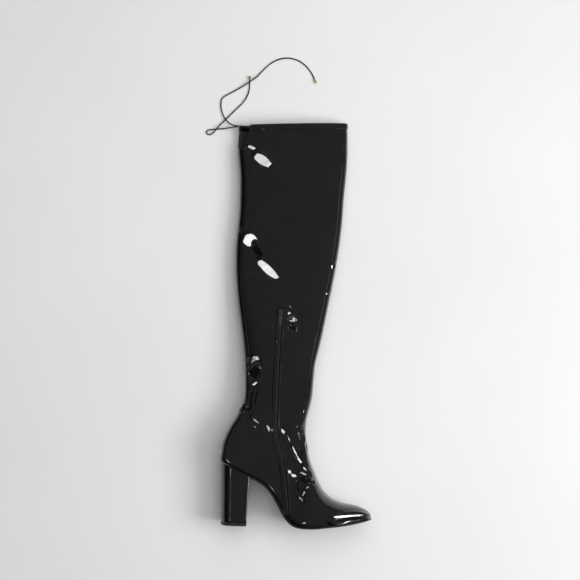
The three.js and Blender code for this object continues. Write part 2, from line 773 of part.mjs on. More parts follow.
// The counter's front seam, from the back of the ankle down to the sole: X in foot lengths, Y in
// ankle heights
const COUNTER_SEAM = [
  { x: 0.134, y: 0.839 },
  { x: 0.17, y: 0.732 },
  { x: 0.203, y: 0.631 },
  { x: 0.28, y: 0.522 },
  { x: 0.348, y: 0.424 },
  { x: 0.384, y: 0.332 },
  { x: 0.393, y: 0.244 },
  { x: 0.391, y: 0.185 },
];

// Counter: a sheet over the back of the foot, cut between two forms of the upper
function makeCounter() {
  const SEAT_ROOM = 1.2;
  const shell = upperForm(GAP + COUNTER_SHEET).subtract(upperForm(GAP));
  const seam = COUNTER_SEAM.map((row) => [row.x * FOOT_LENGTH, row.y * ANKLE_HEIGHT]);
  const bottom = [];
  const SEAT_STEPS = 12;
  for (let i = 0; i <= SEAT_STEPS; i++) {
    const t = WAIST_T + ((SEAT_BACK_T - WAIST_T) * i) / SEAT_STEPS;
    const { x, y, normal } = featherAt(t);
    bottom.push([x - normal.x * SEAT_ROOM, y - normal.y * SEAT_ROOM]);
  }
  const backCorner = bottom[bottom.length - 1];
  return shell.intersect(
    prism([...seam, ...bottom, [-BEYOND, backCorner[1]], [-BEYOND, COUNTER_SEAM[0].y * ANKLE_HEIGHT]]),
  );
}

// The upper: vamp and leg in one hollow wall, open at collar, slit, zip and sole
function makeUpper() {
  return upperForm(0)
    .subtract(upperForm(-UPPER_WALL, BEYOND))
    .subtract(soleOpening())
    .subtract(zipSlot())
    .subtract(slitCut());
}

// Routes of the two free ends of the drawstring, as [x, y, z] points chosen by hand
const SHORT_END = [
  [14.3, 596.1, 12.4],
  [8.5, 595.7, 10.4],
  [2, 594.9, 6.6],
  [-5.5, 594, 3.2],
  [-13, 593.2, 1.3],
  [-19.5, 592.7, 1],
  [-25.5, 592.1, 1],
  [-30.1, 591.1, 1],
  [-33.1, 588.4, 1],
  [-32, 585.5, 1.1],
  [-27.8, 584.6, 1.6],
  [-22.8, 587.5, 2.9],
  [-18.4, 593.1, 3.8],
  [-14.6, 597.4, 3],
  [-10.6, 601.7, 1.6],
  [-5, 607.4, 1],
  [1.8, 614.4, 1],
  [8.6, 621.3, 1],
  [15.5, 628, 1],
  [22.2, 635.4, 1],
  [27.4, 644.2, 1],
  [30, 653, 1],
  [30.6, 661.5, 1],
  [30.5, 665, 1.2],
  [30.5, 668, 1.9],
];
const LONG_END = [
  [31.4, 595.3, 25.6],
  [27, 595.6, 24.6],
  [21.5, 596, 21.8],
  [15.8, 596.6, 18],
  [11.3, 597.3, 14.4],
  [7, 598.4, 11.2],
  [3, 600.4, 8.4],
  [-0.6, 603.2, 5.9],
  [-4, 607, 4.2],
  [-7.4, 611.8, 2.8],
  [-10.3, 618.8, 1.5],
  [-12, 625.5, 1],
  [-12.2, 632, 1],
  [-11.2, 638, 1],
  [-7.5, 642.4, 1],
  [0, 646.7, 1],
  [7.5, 651, 1],
  [14.7, 655.2, 1.3],
  [22.5, 660, 2.6],
  [30.1, 664.9, 3.8],
  [36, 669.3, 3],
  [41.9, 673.9, 1.6],
  [48.4, 681, 1],
  [55.8, 688.6, 1],
  [64.4, 695.4, 1],
  [74, 700, 1],
  [84.4, 702.3, 1],
  [95, 701.6, 1],
  [105, 698.2, 1],
  [113.8, 692.2, 1],
  [121, 684.4, 1],
  [126, 676.6, 1.2],
  [128.6, 671, 1.9],
];

function cordCurve(points) {
  return new THREE.CatmullRomCurve3(
    points.map(([x, y, z]) => new THREE.Vector3(x, y, z)),
    false,
    'centripetal',
  );
}

const CORD_SIDES = 8;
const CORD_STEP = 2.8 * CORD_DIAMETER;

function makeCord(points) {
  const shape = new THREE.Shape();
  for (let i = 0; i < CORD_SIDES; i++) {
    const turn = (2 * Math.PI * (i + 0.5)) / CORD_SIDES;
    const x = (CORD_DIAMETER / 2) * Math.cos(turn);
    const y = (CORD_DIAMETER / 2) * Math.sin(turn);
    if (i === 0) shape.moveTo(x, y);
    else shape.lineTo(x, y);
  }
  shape.closePath();
  const curve = cordCurve(points);
  const steps = Math.round(curve.getLength() / CORD_STEP);
  return solidOf(new THREE.ExtrudeGeometry(shape, { steps, bevelEnabled: false, extrudePath: curve }));
}

const TIP_SIDES = 14;
const TIP_START = 0.5;

// A bell-shaped metal cap past the end of a cord, along the cord's last direction
function makeTip(points) {
  const curve = cordCurve(points);
  const end = curve.getPointAt(1);
  const direction = curve.getTangentAt(1).setZ(0).normalize();
  const radius = TIP_DIAMETER / 2;
  const profile = [
    new THREE.Vector2(0, TIP_START),
    new THREE.Vector2(radius * 0.72, TIP_START),
    new THREE.Vector2(radius * 0.85, TIP_LENGTH * 0.3),
    new THREE.Vector2(radius, TIP_LENGTH * 0.55),
    new THREE.Vector2(radius, TIP_LENGTH * 0.9),
    new THREE.Vector2(radius * 0.8, TIP_LENGTH),
    new THREE.Vector2(0, TIP_LENGTH),
  ];
  const geometry = new THREE.LatheGeometry(profile, TIP_SIDES);
  geometry.applyQuaternion(new THREE.Quaternion().setFromUnitVectors(new THREE.Vector3(0, 1, 0), direction));
  geometry.translate(end.x, end.y, end.z);
  return solidOf(geometry);
}

function box(width, length, height, x, y, z) {
  const geometry = new THREE.BoxGeometry(width, length, height);
  geometry.translate(x, y, z);
  return solidOf(geometry);
}

function cylinderAcross(radius, width, sides) {
  const geometry = new THREE.CylinderGeometry(radius, radius, width, sides);
  geometry.rotateZ(Math.PI / 2);
  return solidOf(geometry);
}

// The slider's own frame: X across the zip, Y up the zip, Z out of the leg, origin at the pin
const SLIDER_FLOOR = ZIP_CHAIN_RISE - ZIP_TAPE_DROP + GAP; // slider's underside over the upper's face
const EYE_RADIUS = PIN_RADIUS + RUNNING_GAP;
const EYE_RIM = 1.3;
const EYE_WIDTH = 3.2;
const PIN_HEIGHT = SLIDER_FLOOR + SLIDER_THICKNESS + PIN_RISE;
const EAR_WIDTH = 1.1;
const PIN_SIDES = 16;

function makeSlider() {
  const NOSE_SHARE = 0.42; // of the slider's length, above the pin
  const NOSE_WIDTH_SHARE = 0.55;
  const TAIL_WIDTH_SHARE = 0.72;
  const EAR_LENGTH = 2.6;
  const EAR_ROOT = 0.325; // how far the ears reach down into the plate
  const top = -PIN_RISE;
  const half = SLIDER_WIDTH / 2;
  const nose = SLIDER_LENGTH * NOSE_SHARE;
  const tail = nose - SLIDER_LENGTH;
  const body = new THREE.Shape();
  body.moveTo(-half, nose / 2);
  body.lineTo(-half * NOSE_WIDTH_SHARE, nose);
  body.lineTo(half * NOSE_WIDTH_SHARE, nose);
  body.lineTo(half, nose / 2);
  body.lineTo(half * TAIL_WIDTH_SHARE, tail);
  body.lineTo(-half * TAIL_WIDTH_SHARE, tail);
  body.closePath();
  const plate = new THREE.ExtrudeGeometry(body, { depth: SLIDER_THICKNESS, bevelEnabled: false });
  plate.translate(0, 0, top - SLIDER_THICKNESS);
  const earX = EYE_WIDTH / 2 + RUNNING_GAP + EAR_WIDTH / 2;
  const earHeight = PIN_RISE + PIN_RADIUS * 2;
  const ear = (x) => box(EAR_WIDTH, EAR_LENGTH, earHeight, x, 0, top + earHeight / 2 - EAR_ROOT);
  return solidOf(plate)
    .add(ear(earX))
    .add(ear(-earX))
    .add(cylinderAcross(PIN_RADIUS, earX * 2, PIN_SIDES));
}

// Pull tab: an eye round the pin and a plate that lies down the zip
function makePull() {
  const SHOULDER = 2; // length over which the tab widens
  const outer = EYE_RADIUS + EYE_RIM;
  const neckLength = outer + SHOULDER;
  const neck = box(EYE_WIDTH, neckLength, PULL_THICKNESS, 0, -neckLength / 2, 0);
  const half = PULL_WIDTH / 2;
  const start = -outer - EYE_RIM;
  const end = -PULL_LENGTH;
  const plate = new THREE.Shape();
  plate.moveTo(-EYE_WIDTH / 2, start);
  plate.lineTo(EYE_WIDTH / 2, start);
  plate.lineTo(half, start - SHOULDER);
  plate.lineTo(half, end + half);
  plate.absarc(0, end + half, half, 0, -Math.PI, true);
  plate.lineTo(-half, start - SHOULDER);
  plate.closePath();
  const sheet = new THREE.ExtrudeGeometry(plate, {
    depth: PULL_THICKNESS,
    bevelEnabled: false,
    curveSegments: 6,
  });
  sheet.translate(0, 0, -PULL_THICKNESS / 2);
  return cylinderAcross(outer, EYE_WIDTH, PIN_SIDES)
    .add(neck)
    .add(solidOf(sheet))
    .subtract(cylinderAcross(EYE_RADIUS, EYE_WIDTH * 2, PIN_SIDES));
}

const SLIDER_SHARE = 0.022; // slider's place along the zip

// Materials
const patent = new THREE.MeshStandardMaterial({ color: 0x0b0b0c, roughness: 0.12, metalness: 0 });
const heelPatent = new THREE.MeshStandardMaterial({ color: 0x0b0b0c, roughness: 0.16, metalness: 0 });
const soleRubber = new THREE.MeshStandardMaterial({ color: 0x111111, roughness: 0.6, metalness: 0 });
const lining = new THREE.MeshStandardMaterial({ color: 0x16161a, roughness: 0.9, metalness: 0 });
const zipTape = new THREE.MeshStandardMaterial({ color: 0x0e0e10, roughness: 0.75, metalness: 0 });
const zipMetal = new THREE.MeshStandardMaterial({ color: 0x141416, roughness: 0.35, metalness: 0.6 });
const cordSheet = new THREE.MeshStandardMaterial({ color: 0x0d0d0e, roughness: 0.35, metalness: 0 });
const gold = new THREE.MeshStandardMaterial({ color: 0xc9a75a, roughness: 0.3, metalness: 1 });

function named(name, solid, material) {
  const mesh = new THREE.Mesh(geometryOf(solid), material);
  mesh.name = name;
  return mesh;
}

const boot = new THREE.Group();
boot.add(
  named('upper', makeUpper(), patent),
  named('counter', makeCounter(), patent),
  named('collar_hem', makeHem(), patent),
  named('insole', makeInsole(), lining),
  named('outsole', makeOutsole(), soleRubber),
  named('heel_block', makeHeelBlock(), heelPatent),
  named('top_piece', makeTopPiece(), soleRubber),
  named('zip_strip', makeZipStrip(), zipTape),
  named('drawstring_short', makeCord(SHORT_END), cordSheet),
  named('drawstring_long', makeCord(LONG_END), cordSheet),
  named('tip_short', makeTip(SHORT_END), gold),
  named('tip_long', makeTip(LONG_END), gold),
);

const seat = zipFrame(SLIDER_SHARE);
const slider = new THREE.Group();
const pull = named('zip_pull', makePull(), zipMetal);
pull.rotation.x = THREE.MathUtils.degToRad(PULL_REST_TILT);
slider.add(named('zip_slider', makeSlider(), zipMetal), pull);
slider.quaternion.setFromRotationMatrix(
  new THREE.Matrix4().makeBasis(seat.across, seat.down.clone().negate(), seat.normal),
);
slider.position.copy(seat.point).addScaledVector(seat.normal, PIN_HEIGHT);
boot.add(slider);

// The origin is on the floor under the middle of the boot, without the drawstring's free ends
const free = ['drawstring_short', 'drawstring_long', 'tip_short', 'tip_long'];
const bounds = new THREE.Box3();
boot.updateMatrixWorld(true);
boot.traverse((o) => {
  if (o.isMesh && !free.includes(o.name)) bounds.expandByObject(o, true);
});
const middle = bounds.getCenter(new THREE.Vector3());
boot.position.set(-middle.x, -middle.y, -bounds.min.z);

const part = new THREE.Group();
part.add(boot);
export default part;
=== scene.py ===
"""Looks of a thigh-high block-heel boot in glossy black patent, lying on its outer side.

Boot sizes are in millimetres in the boot's own frame: X from heel to toe, Y up the leg from the
ground face of the heel, Z up from the floor. Only row() turns them into metres in the CAD frame.
"""
import json
import math

import bpy
import numpy as np
from mathutils import Matrix, Vector
from mathutils.bvhtree import BVHTree


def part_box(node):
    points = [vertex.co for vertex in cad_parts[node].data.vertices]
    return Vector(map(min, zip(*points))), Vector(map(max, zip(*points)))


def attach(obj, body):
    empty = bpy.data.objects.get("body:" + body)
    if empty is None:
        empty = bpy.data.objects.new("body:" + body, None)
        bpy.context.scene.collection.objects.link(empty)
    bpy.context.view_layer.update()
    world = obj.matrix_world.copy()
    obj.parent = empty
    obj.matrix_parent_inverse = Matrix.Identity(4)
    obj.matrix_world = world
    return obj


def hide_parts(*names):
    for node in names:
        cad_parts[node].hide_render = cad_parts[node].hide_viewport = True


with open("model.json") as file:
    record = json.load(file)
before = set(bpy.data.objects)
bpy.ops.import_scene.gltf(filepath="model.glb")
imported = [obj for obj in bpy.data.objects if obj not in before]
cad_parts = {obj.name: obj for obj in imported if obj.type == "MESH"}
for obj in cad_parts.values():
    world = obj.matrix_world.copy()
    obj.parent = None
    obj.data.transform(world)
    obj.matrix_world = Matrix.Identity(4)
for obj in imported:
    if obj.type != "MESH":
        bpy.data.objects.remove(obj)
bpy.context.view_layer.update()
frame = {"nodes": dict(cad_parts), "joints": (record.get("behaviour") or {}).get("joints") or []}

MM = 0.001

# Driving dimensions, the same as the CAD model's
FOOT_LENGTH = 224
BALL_WIDTH = 79
COUNTER_WIDTH = 60
TOE_BOX_HEIGHT = 26
TOE_SPRING = 12
HEEL_HEIGHT = 95
ANKLE_HEIGHT = 205
BOOT_HEIGHT = 600
COLLAR_WIDTH = 163
LEG_AXIS_X = 98
LEG_DEPTH = 36
UPPER_WALL = 1.6
COUNTER_SHEET = 0.9
GAP = 0.3
OUTSOLE_THICKNESS = 2.4
SOLE_EDGE = 1.6
HEEL_SEAT_LENGTH = 44.4
HEEL_OVERHANG = 1.5
HEEL_SEAT_WIDTH = 52
HEEL_BASE_LENGTH = 39.5
HEEL_BASE_WIDTH = 48
TOP_PIECE_THICKNESS = 5
TOP_PIECE_INSET = 0.6
HEM_HEIGHT = 9.5
SLIT_DEPTH = 33
SLIT_WIDTH = 15
CORD_DIAMETER = 2
TIP_DIAMETER = 3.8
TIP_LENGTH = 6
SOLE_TOP = OUTSOLE_THICKNESS + GAP
BALL_X = 0.6 * FOOT_LENGTH
COUNTER_MIDDLE = COUNTER_WIDTH / 2 + GAP + COUNTER_SHEET
FLOOR_CLEARANCE = 0.1  # least height of any piece over the floor


def foot_middle(x):
    """Height of the foot's middle plane over the floor."""
    share = np.minimum(x, BALL_X) / BALL_X
    return COUNTER_MIDDLE + share * (BALL_WIDTH / 2 - COUNTER_MIDDLE)


def boot_origin():
    """The boot frame's origin in the CAD frame, in millimetres, from where the top piece lies."""
    low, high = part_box("top_piece")
    front = HEEL_BASE_LENGTH - TOP_PIECE_INSET
    side = HEEL_BASE_WIDTH / 2 - TOP_PIECE_INSET
    return np.array([high.x / MM - front, low.y / MM, high.z / MM - foot_middle(front) - side])


ORIGIN = boot_origin()


def row(points):
    """Boot millimetres as metres in the CAD frame."""
    return (np.asarray(points, float) + ORIGIN) * MM


def unit(vectors):
    vectors = np.asarray(vectors, float)
    return vectors / np.maximum(np.linalg.norm(vectors, axis=-1, keepdims=True), 1e-9)


# Camera: straight down, with the photograph's scale and roll
PHOTO_ROLL_DEG = 1.08
VIEW_CENTRE = (97.5, 351.5)  # boot millimetres
VIEW_WIDTH = 870  # millimetres across the picture at the boot's height
CAMERA_HEIGHT = 2.6
CAMERA_SENSOR = 36
BOOT_LEVEL = 0.025  # metres over the floor where VIEW_WIDTH holds
VIEW_LEVEL = 20  # boot millimetres that the lights are aimed at


def camera_place():
    """The camera's place in boot millimetres."""
    return np.array([*VIEW_CENTRE, CAMERA_HEIGHT / MM - ORIGIN[2]])


# Studio lights: heading and angle off the vertical in degrees, distance, width and depth in metres,
# power in watts, whether they show in reflections or light matt surfaces, and their aim and spread
LIGHT_COLUMNS = ("heading", "zenith", "distance", "size", "power", "glossy", "aim", "spread")
LIGHT_ROWS = {
    "softbox": (207, 29, 2.2, (0.26, 0.32), 0.028, True, (62, 450), 12.5),
    "shin_spot": (207, 29, 2.2, (0.16, 0.26), 0.0031, True, (50, 212), 6),
    "instep_spot": (221, 30, 2.2, (0.24, 0.3), 0.006, True, (116, 104), 6),
    "toe_strip": (-28, 42, 2.2, (0.4, 0.2), 8, True, None, 180),
    "window": (76, 62, 2.2, (0.9, 0.8), 0.9, True, None, 180),
    "right_strip": (4, 52, 2.2, (0.6, 0.2), 0.4, True, None, 180),
    "left_strip": (184, 56, 2.2, (0.6, 0.2), 0.2, True, None, 180),
    "key": (-8, 47, 2.4, (1.2, 1.2), 33, False, None, 180),
    "fill": (60, 16, 3, (3.2, 3.2), 50, False, None, 180),
}
LIGHTS = {name: dict(zip(LIGHT_COLUMNS, values)) for name, values in LIGHT_ROWS.items()}


def light_place(name):
    """Middle of a light in boot millimetres, and its direction from the boot."""
    light = LIGHTS[name]
    a, z = math.radians(light["heading"]), math.radians(light["zenith"])
    away = np.array([math.sin(z) * math.cos(a), math.sin(z) * math.sin(a), math.cos(z)])
    return np.array([*VIEW_CENTRE, VIEW_LEVEL]) + away * light["distance"] / MM, away


def mirror_slope(point, name):
    """Fall of a surface along X and Y where it mirrors a light to the camera."""
    place, _ = light_place(name)
    half = unit(camera_place() - point) + unit(place - point)
    return half[:2] / half[2]


def tilt_slope(tilt, towards):
    """Fall of a surface along X and Y where it lies at a tilt facing a heading, in degrees."""
    steep = math.tan(math.radians(tilt))
    return steep * math.cos(math.radians(towards)), steep * math.sin(math.radians(towards))


def make_camera():
    data = bpy.data.cameras.new("camera")
    data.sensor_width = CAMERA_SENSOR
    data.lens = CAMERA_SENSOR * (CAMERA_HEIGHT - BOOT_LEVEL) / (VIEW_WIDTH * MM)
    data.clip_end = 20
    camera = bpy.data.objects.new("camera", data)
    x, y, _ = row([*VIEW_CENTRE, 0])
    camera.location = (x, y, CAMERA_HEIGHT)
    camera.rotation_euler = (0, 0, math.radians(PHOTO_ROLL_DEG))
    bpy.context.scene.collection.objects.link(camera)
    bpy.context.scene.camera = camera


# Materials


def set_values(node, **values):
    """Values on a node's own sockets, named with underscores for spaces."""
    for name, value in values.items():
        node.inputs[name.replace("_", " ")].default_value = value


def add_ramp(tree, value, stops):
    """Greys or colours at places along a value."""
    node = tree.nodes.new("ShaderNodeValToRGB")
    elements = node.color_ramp.elements
    while len(elements) < len(stops):
        elements.new(0.5)
    for element, (position, colour) in zip(elements, stops):
        element.position = position
        element.color = (*colour, 1) if len(colour) == 3 else (colour[0],) * 3 + (1,)
    tree.links.new(value, node.inputs["Fac"])
    return node.outputs["Color"]


class Finish:
    """A material, and the textures that its shader takes."""

    def __init__(self, name):
        self.material = bpy.data.materials.new(name)
        self.material.use_nodes = True
        self.tree = self.material.node_tree
        self.shader = self.tree.nodes["Principled BSDF"]
        self.vector = self.tree.nodes.new("ShaderNodeTexCoord").outputs["Object"]

    def texture(self, kind, **values):
        node = self.tree.nodes.new(kind)
        set_values(node, **values)
        self.tree.links.new(self.vector, node.inputs["Vector"])
        return node

    def noise(self, scale, detail=2, roughness=0.5):
        values = dict(Scale=scale, Detail=detail, Roughness=roughness)
        return self.texture("ShaderNodeTexNoise", **values).outputs["Fac"]

    def tint(self, value, *stops, socket="Base Color"):
        self.tree.links.new(add_ramp(self.tree, value, stops), self.shader.inputs[socket])

    def bump(self, height, distance, strength=1, under=None, sockets=("Normal",)):
        node = self.tree.nodes.new("ShaderNodeBump")
        set_values(node, Distance=distance, Strength=strength)
        self.tree.links.new(height, node.inputs["Height"])
        if under is not None:
            self.tree.links.new(under, node.inputs["Normal"])
        for socket in sockets:
            self.tree.links.new(node.outputs["Normal"], self.shader.inputs[socket])
        return node.outputs["Normal"]


PATENT_BODY = (0.0035, 0.0035, 0.004)
PEEL_WAVE = 0.00012
PEEL_GRAIN = 0.0000075


def patent_material(name, coat_roughness):
    """Coated sheet: black body under a clear gloss, with slight orange peel and a slow waviness."""
    finish = Finish(name)
    darker = [c * 0.8 for c in PATENT_BODY]
    lighter = [c * 1.25 for c in PATENT_BODY]
    finish.tint(finish.noise(35, 3), (0.3, darker), (0.7, lighter))
    finish.tint(finish.noise(90, 4, 0.6), (0.35, (0.3,)), (0.7, (0.42,)), socket="Roughness")
    waves = finish.bump(finish.noise(60), PEEL_WAVE, sockets=())
    finish.bump(finish.noise(900), PEEL_GRAIN, under=waves, sockets=("Normal", "Coat Normal"))
    gloss = dict(Coat_Weight=1, Coat_Roughness=coat_roughness, Coat_IOR=1.5)
    set_values(finish.shader, Specular_IOR_Level=0.08, **gloss)
    return finish.material


def rubber_material():
    finish = Finish("sole_rubber")
    finish.tint(finish.noise(120, 3), (0.3, (0.013,)), (0.7, (0.024,)))
    finish.bump(finish.noise(1800, 3), 0.00008, 0.7)
    set_values(finish.shader, Roughness=0.5)
    return finish.material


def lining_material():
    """Fine knit: small ribs along the leg."""
    finish = Finish("lining")
    wave = finish.texture("ShaderNodeTexWave", Scale=420, Distortion=1.2, Detail_Scale=3).outputs["Fac"]
    finish.tint(wave, (0.1, (0.014,)), (0.9, (0.026,)))
    finish.bump(wave, 0.00012, 0.8)
    set_values(finish.shader, Roughness=0.85, Sheen_Weight=0.25)
    return finish.material


def tape_material():
    """Woven zip tape: fine crossing ribs."""
    finish = Finish("zip_tape")
    weave = finish.texture("ShaderNodeTexWave", Scale=700)
    weave.bands_direction = "Y"
    finish.tint(weave.outputs["Fac"], (0, (0.008,)), (1, (0.018,)))
    finish.bump(weave.outputs["Fac"], 0.0001, 0.8)
    set_values(finish.shader, Roughness=0.65)
    return finish.material


def satin_material(name, tone, roughness, metallic=0.0, coat=0.0, scale=600, depth=0.00002):
    finish = Finish(name)
    fine = finish.noise(scale, 3)
    low = [c * 0.85 for c in tone]
    high = [min(c * 1.12, 1) for c in tone]
    finish.tint(fine, (0.3, low), (0.7, high))
    finish.bump(fine, depth, 0.7)
    set_values(finish.shader, Roughness=roughness, Metallic=metallic, Coat_Weight=coat)
    return finish.material


PATENT = patent_material("patent", 0.035)
HEEL_PATENT = patent_material("heel_patent", 0.05)
RUBBER = rubber_material()
LINING = lining_material()
TAPE = tape_material()
COIL = satin_material("zip_coil", (0.012, 0.012, 0.013), 0.35, scale=2500)
LACQUER = satin_material("zip_metal", (0.05, 0.05, 0.053), 0.3, 0.6, 0.6)
CORD = satin_material("cord", (0.012, 0.012, 0.013), 0.38, coat=0.3, scale=1500, depth=0.00004)
GOLD = satin_material("gold", (0.86, 0.64, 0.33), 0.22, 1.0)
THREAD = satin_material("thread", (0.02, 0.02, 0.021), 0.5, scale=4000, depth=0.00006)


# Mesh helpers


def signed_volume(points, faces):
    """Volume inside a mesh, about its own middle: positive where its faces point outwards."""
    fans = [(f[0], f[i], f[i + 1]) for f in faces for i in range(1, len(f) - 1)]
    a, b, c = (points - points.mean(axis=0))[np.array(fans)].transpose(1, 0, 2)
    return float((a * np.cross(b, c)).sum())


def make_piece(name, points, faces, material, body="boot", smooth=True, inside_out=False):
    """A mesh from boot-millimetre points, on a body, with its finish. Its faces point outwards,
    or inwards where it is the inside face of a sheet."""
    points = np.array(points, float)
    points[:, 2] = np.maximum(points[:, 2], FLOOR_CLEARANCE - ORIGIN[2])
    mesh = bpy.data.meshes.new(name)
    mesh.from_pydata(row(points).tolist(), [], faces)
    mesh.validate()
    if smooth:
        mesh.polygons.foreach_set("use_smooth", [True] * len(mesh.polygons))
    if (signed_volume(points, faces) < 0) != inside_out:
        mesh.flip_normals()
    mesh.update()
    piece = bpy.data.objects.new(name, mesh)
    bpy.context.scene.collection.objects.link(piece)
    piece.data.materials.append(material)
    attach(piece, body)
    return piece


def grid_faces(rows, columns, wrap=False, skip=None, first=0, flip=False):
    """Quads of a grid of points. skip(r, c) leaves a quad out."""
    faces = []
    for r in range(rows - 1):
        for c in range(columns if wrap else columns - 1):
            if skip is not None and skip(r, c):
                continue
            a = first + r * columns + c
            b = first + r * columns + (c + 1) % columns
            quad = (a, b, b + columns, a + columns)
            faces.append(quad[::-1] if flip else quad)
    return faces


def capped_tube_faces(rows, columns):
    """Faces of a closed tube: the grid and one polygon at each end."""
    faces = grid_faces(rows, columns, wrap=True)
    faces.append(tuple(range(columns))[::-1])
    faces.append(tuple((rows - 1) * columns + c for c in range(columns)))
    return faces


def oval(sides, width, height=None):
    """Points once round an oval of two half widths, or a circle of one radius."""
    turns = np.linspace(0, 2 * math.pi, sides, endpoint=False)
    return np.stack([width * np.cos(turns), (height or width) * np.sin(turns)], axis=1)


def sweep(centres, sides, ups, profile):
    """Rings of a profile of (side, up) pairs, or one profile for each ring, along a line."""
    centres, sides, ups = (np.asarray(a, float) for a in (centres, sides, ups))
    profile = np.asarray(profile, float)
    if profile.ndim == 2:
        profile = np.repeat(profile[None], len(centres), axis=0)
    rings = centres[:, None] + sides[:, None] * profile[:, :, :1] + ups[:, None] * profile[:, :, 1:]
    return rings.reshape(-1, 3)


def between(t, low, high, a, b):
    """Value at t on the line through a at low and b at high."""
    return (high - t) / (high - low) * a + (t - low) / (high - low) * b


def catmull_rom(points, per_span=12):
    """Points of the centripetal Catmull-Rom curve that the CAD model uses."""
    p = np.asarray(points, float)
    p = np.vstack([2 * p[0] - p[1], p, 2 * p[-1] - p[-2]])
    found = []
    for i in range(1, len(p) - 2):
        knots = [0]
        for a, b in ((i - 1, i), (i, i + 1), (i + 1, i + 2)):
            knots.append(knots[-1] + max(np.linalg.norm(p[b] - p[a]) ** 0.5, 1e-6))
        k0, k1, k2, k3 = knots
        for t in np.linspace(k1, k2, per_span, endpoint=False):
            a1, a2, a3 = (between(t, *knots[j : j + 2], *p[i + j - 1 : i + j + 1]) for j in range(3))
            b1, b2 = between(t, k0, k2, a1, a2), between(t, k1, k3, a2, a3)
            found.append(between(t, k1, k2, b1, b2))
    found.append(p[-2])
    return np.array(found)


def places_along(line):
    """Length of a polyline up to each of its points."""
    return np.concatenate([[0], np.cumsum(np.linalg.norm(np.diff(line, axis=0), axis=1))])


def spaced(line, count):
    """Evenly spaced points on a polyline."""
    along = places_along(line)
    places = np.linspace(0, along[-1], count)
    return np.stack([np.interp(places, along, column) for column in line.T], axis=1)


def evenly(line, step):
    """A polyline's points again, evenly spaced about step apart, and its length."""
    length = places_along(line)[-1]
    return spaced(line, max(2, int(round(length / step)) + 1)), length


# Drawstring: the routes of its two free ends, as in the CAD model
SHORT_END = [
    (14.3, 596.1, 12.4), (8.5, 595.7, 10.4), (2, 594.9, 6.6), (-5.5, 594, 3.2), (-13, 593.2, 1.3),
    (-19.5, 592.7, 1), (-25.5, 592.1, 1), (-30.1, 591.1, 1), (-33.1, 588.4, 1), (-32, 585.5, 1.1),
    (-27.8, 584.6, 1.6), (-22.8, 587.5, 2.9), (-18.4, 593.1, 3.8), (-14.6, 597.4, 3), (-10.6, 601.7, 1.6),
    (-5, 607.4, 1), (1.8, 614.4, 1), (8.6, 621.3, 1), (15.5, 628, 1), (22.2, 635.4, 1), (27.4, 644.2, 1),
    (30, 653, 1), (30.6, 661.5, 1), (30.5, 665, 1.2), (30.5, 668, 1.9),
]
LONG_END = [
    (31.4, 595.3, 25.6), (27, 595.6, 24.6), (21.5, 596, 21.8), (15.8, 596.6, 18), (11.3, 597.3, 14.4),
    (7, 598.4, 11.2), (3, 600.4, 8.4), (-0.6, 603.2, 5.9), (-4, 607, 4.2), (-7.4, 611.8, 2.8),
    (-10.3, 618.8, 1.5), (-12, 625.5, 1), (-12.2, 632, 1), (-11.2, 638, 1), (-7.5, 642.4, 1),
    (0, 646.7, 1), (7.5, 651, 1), (14.7, 655.2, 1.3), (22.5, 660, 2.6), (30.1, 664.9, 3.8),
    (36, 669.3, 3), (41.9, 673.9, 1.6), (48.4, 681, 1), (55.8, 688.6, 1), (64.4, 695.4, 1),
    (74, 700, 1), (84.4, 702.3, 1), (95, 701.6, 1), (105, 698.2, 1), (113.8, 692.2, 1), (121, 684.4, 1),
    (126, 676.6, 1.2), (128.6, 671, 1.9),
]


# Distance along the cap, and share of its radius
TIP_PROFILE = [
    (0.5, 0.3), (0.5, 0.62), (0.62, 0.7), (1.2, 0.72), (1.9, 0.8), (2.7, 0.92), (3.4, 0.985), (4.6, 1),
    (5.2, 1), (5.5, 0.97), (5.75, 0.9), (5.9, 0.8), (TIP_LENGTH, 0.66), (5.8, 0.5), (5.7, 0.25),
]
TIP_SIDES = 28


def make_tip(name, line, node):
    """Bell-shaped metal cap with a rolled mouth over the end of a cord."""
    end = line[-1]
    ahead = unit((line[-1] - line[-2]) * (1, 1, 0))
    up = np.array([0, 0, 1.0])
    ring = oval(TIP_SIDES, TIP_DIAMETER / 2) @ np.array([np.cross(ahead, up), up])
    points = np.concatenate([end + ahead * along + ring * share for along, share in TIP_PROFILE])
    piece = make_piece(name, points, capped_tube_faces(len(TIP_PROFILE), TIP_SIDES), GOLD)
    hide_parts(node)
    return piece


CORD_STEP = 0.9
CORD_SIDES = 14
CORD_HALF_THICKNESS = 0.72
CORD_GROOVE = 0.1


def make_cord(name, route, node, tip_name, tip_node):
    """A narrow folded strap that turns slowly on itself, with a seam groove, ending in its tip."""
    line, length = evenly(catmull_rom(route), CORD_STEP)
    ahead = unit(np.gradient(line, axis=0))
    side = unit(np.cross(ahead, (0, 0, 1)))
    up = np.cross(side, ahead)
    profile = oval(CORD_SIDES, CORD_DIAMETER / 2, CORD_HALF_THICKNESS)
    profile[np.argmax(profile[:, 1]), 1] -= CORD_GROOVE
    places = np.linspace(0, length, len(line))
    twists = 0.5 * np.sin(places / 21) + 0.3 * np.sin(places / 8.3 + 1)
    turned = []
    for twist in twists:
        c, s = math.cos(twist), math.sin(twist)
        turned.append(profile @ np.array([[c, s], [-s, c]]))
    points = sweep(line + (0, 0, 0.02), side, up, turned)
    cord = make_piece(name, points, capped_tube_faces(len(line), CORD_SIDES), CORD)
    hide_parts(node)
    tip = make_tip(tip_name, line, tip_node)


make_camera()
make_cord("cord_short", SHORT_END, "drawstring_short", "cap_short", "tip_short")
make_cord("cord_long", LONG_END, "drawstring_long", "cap_long", "tip_long")

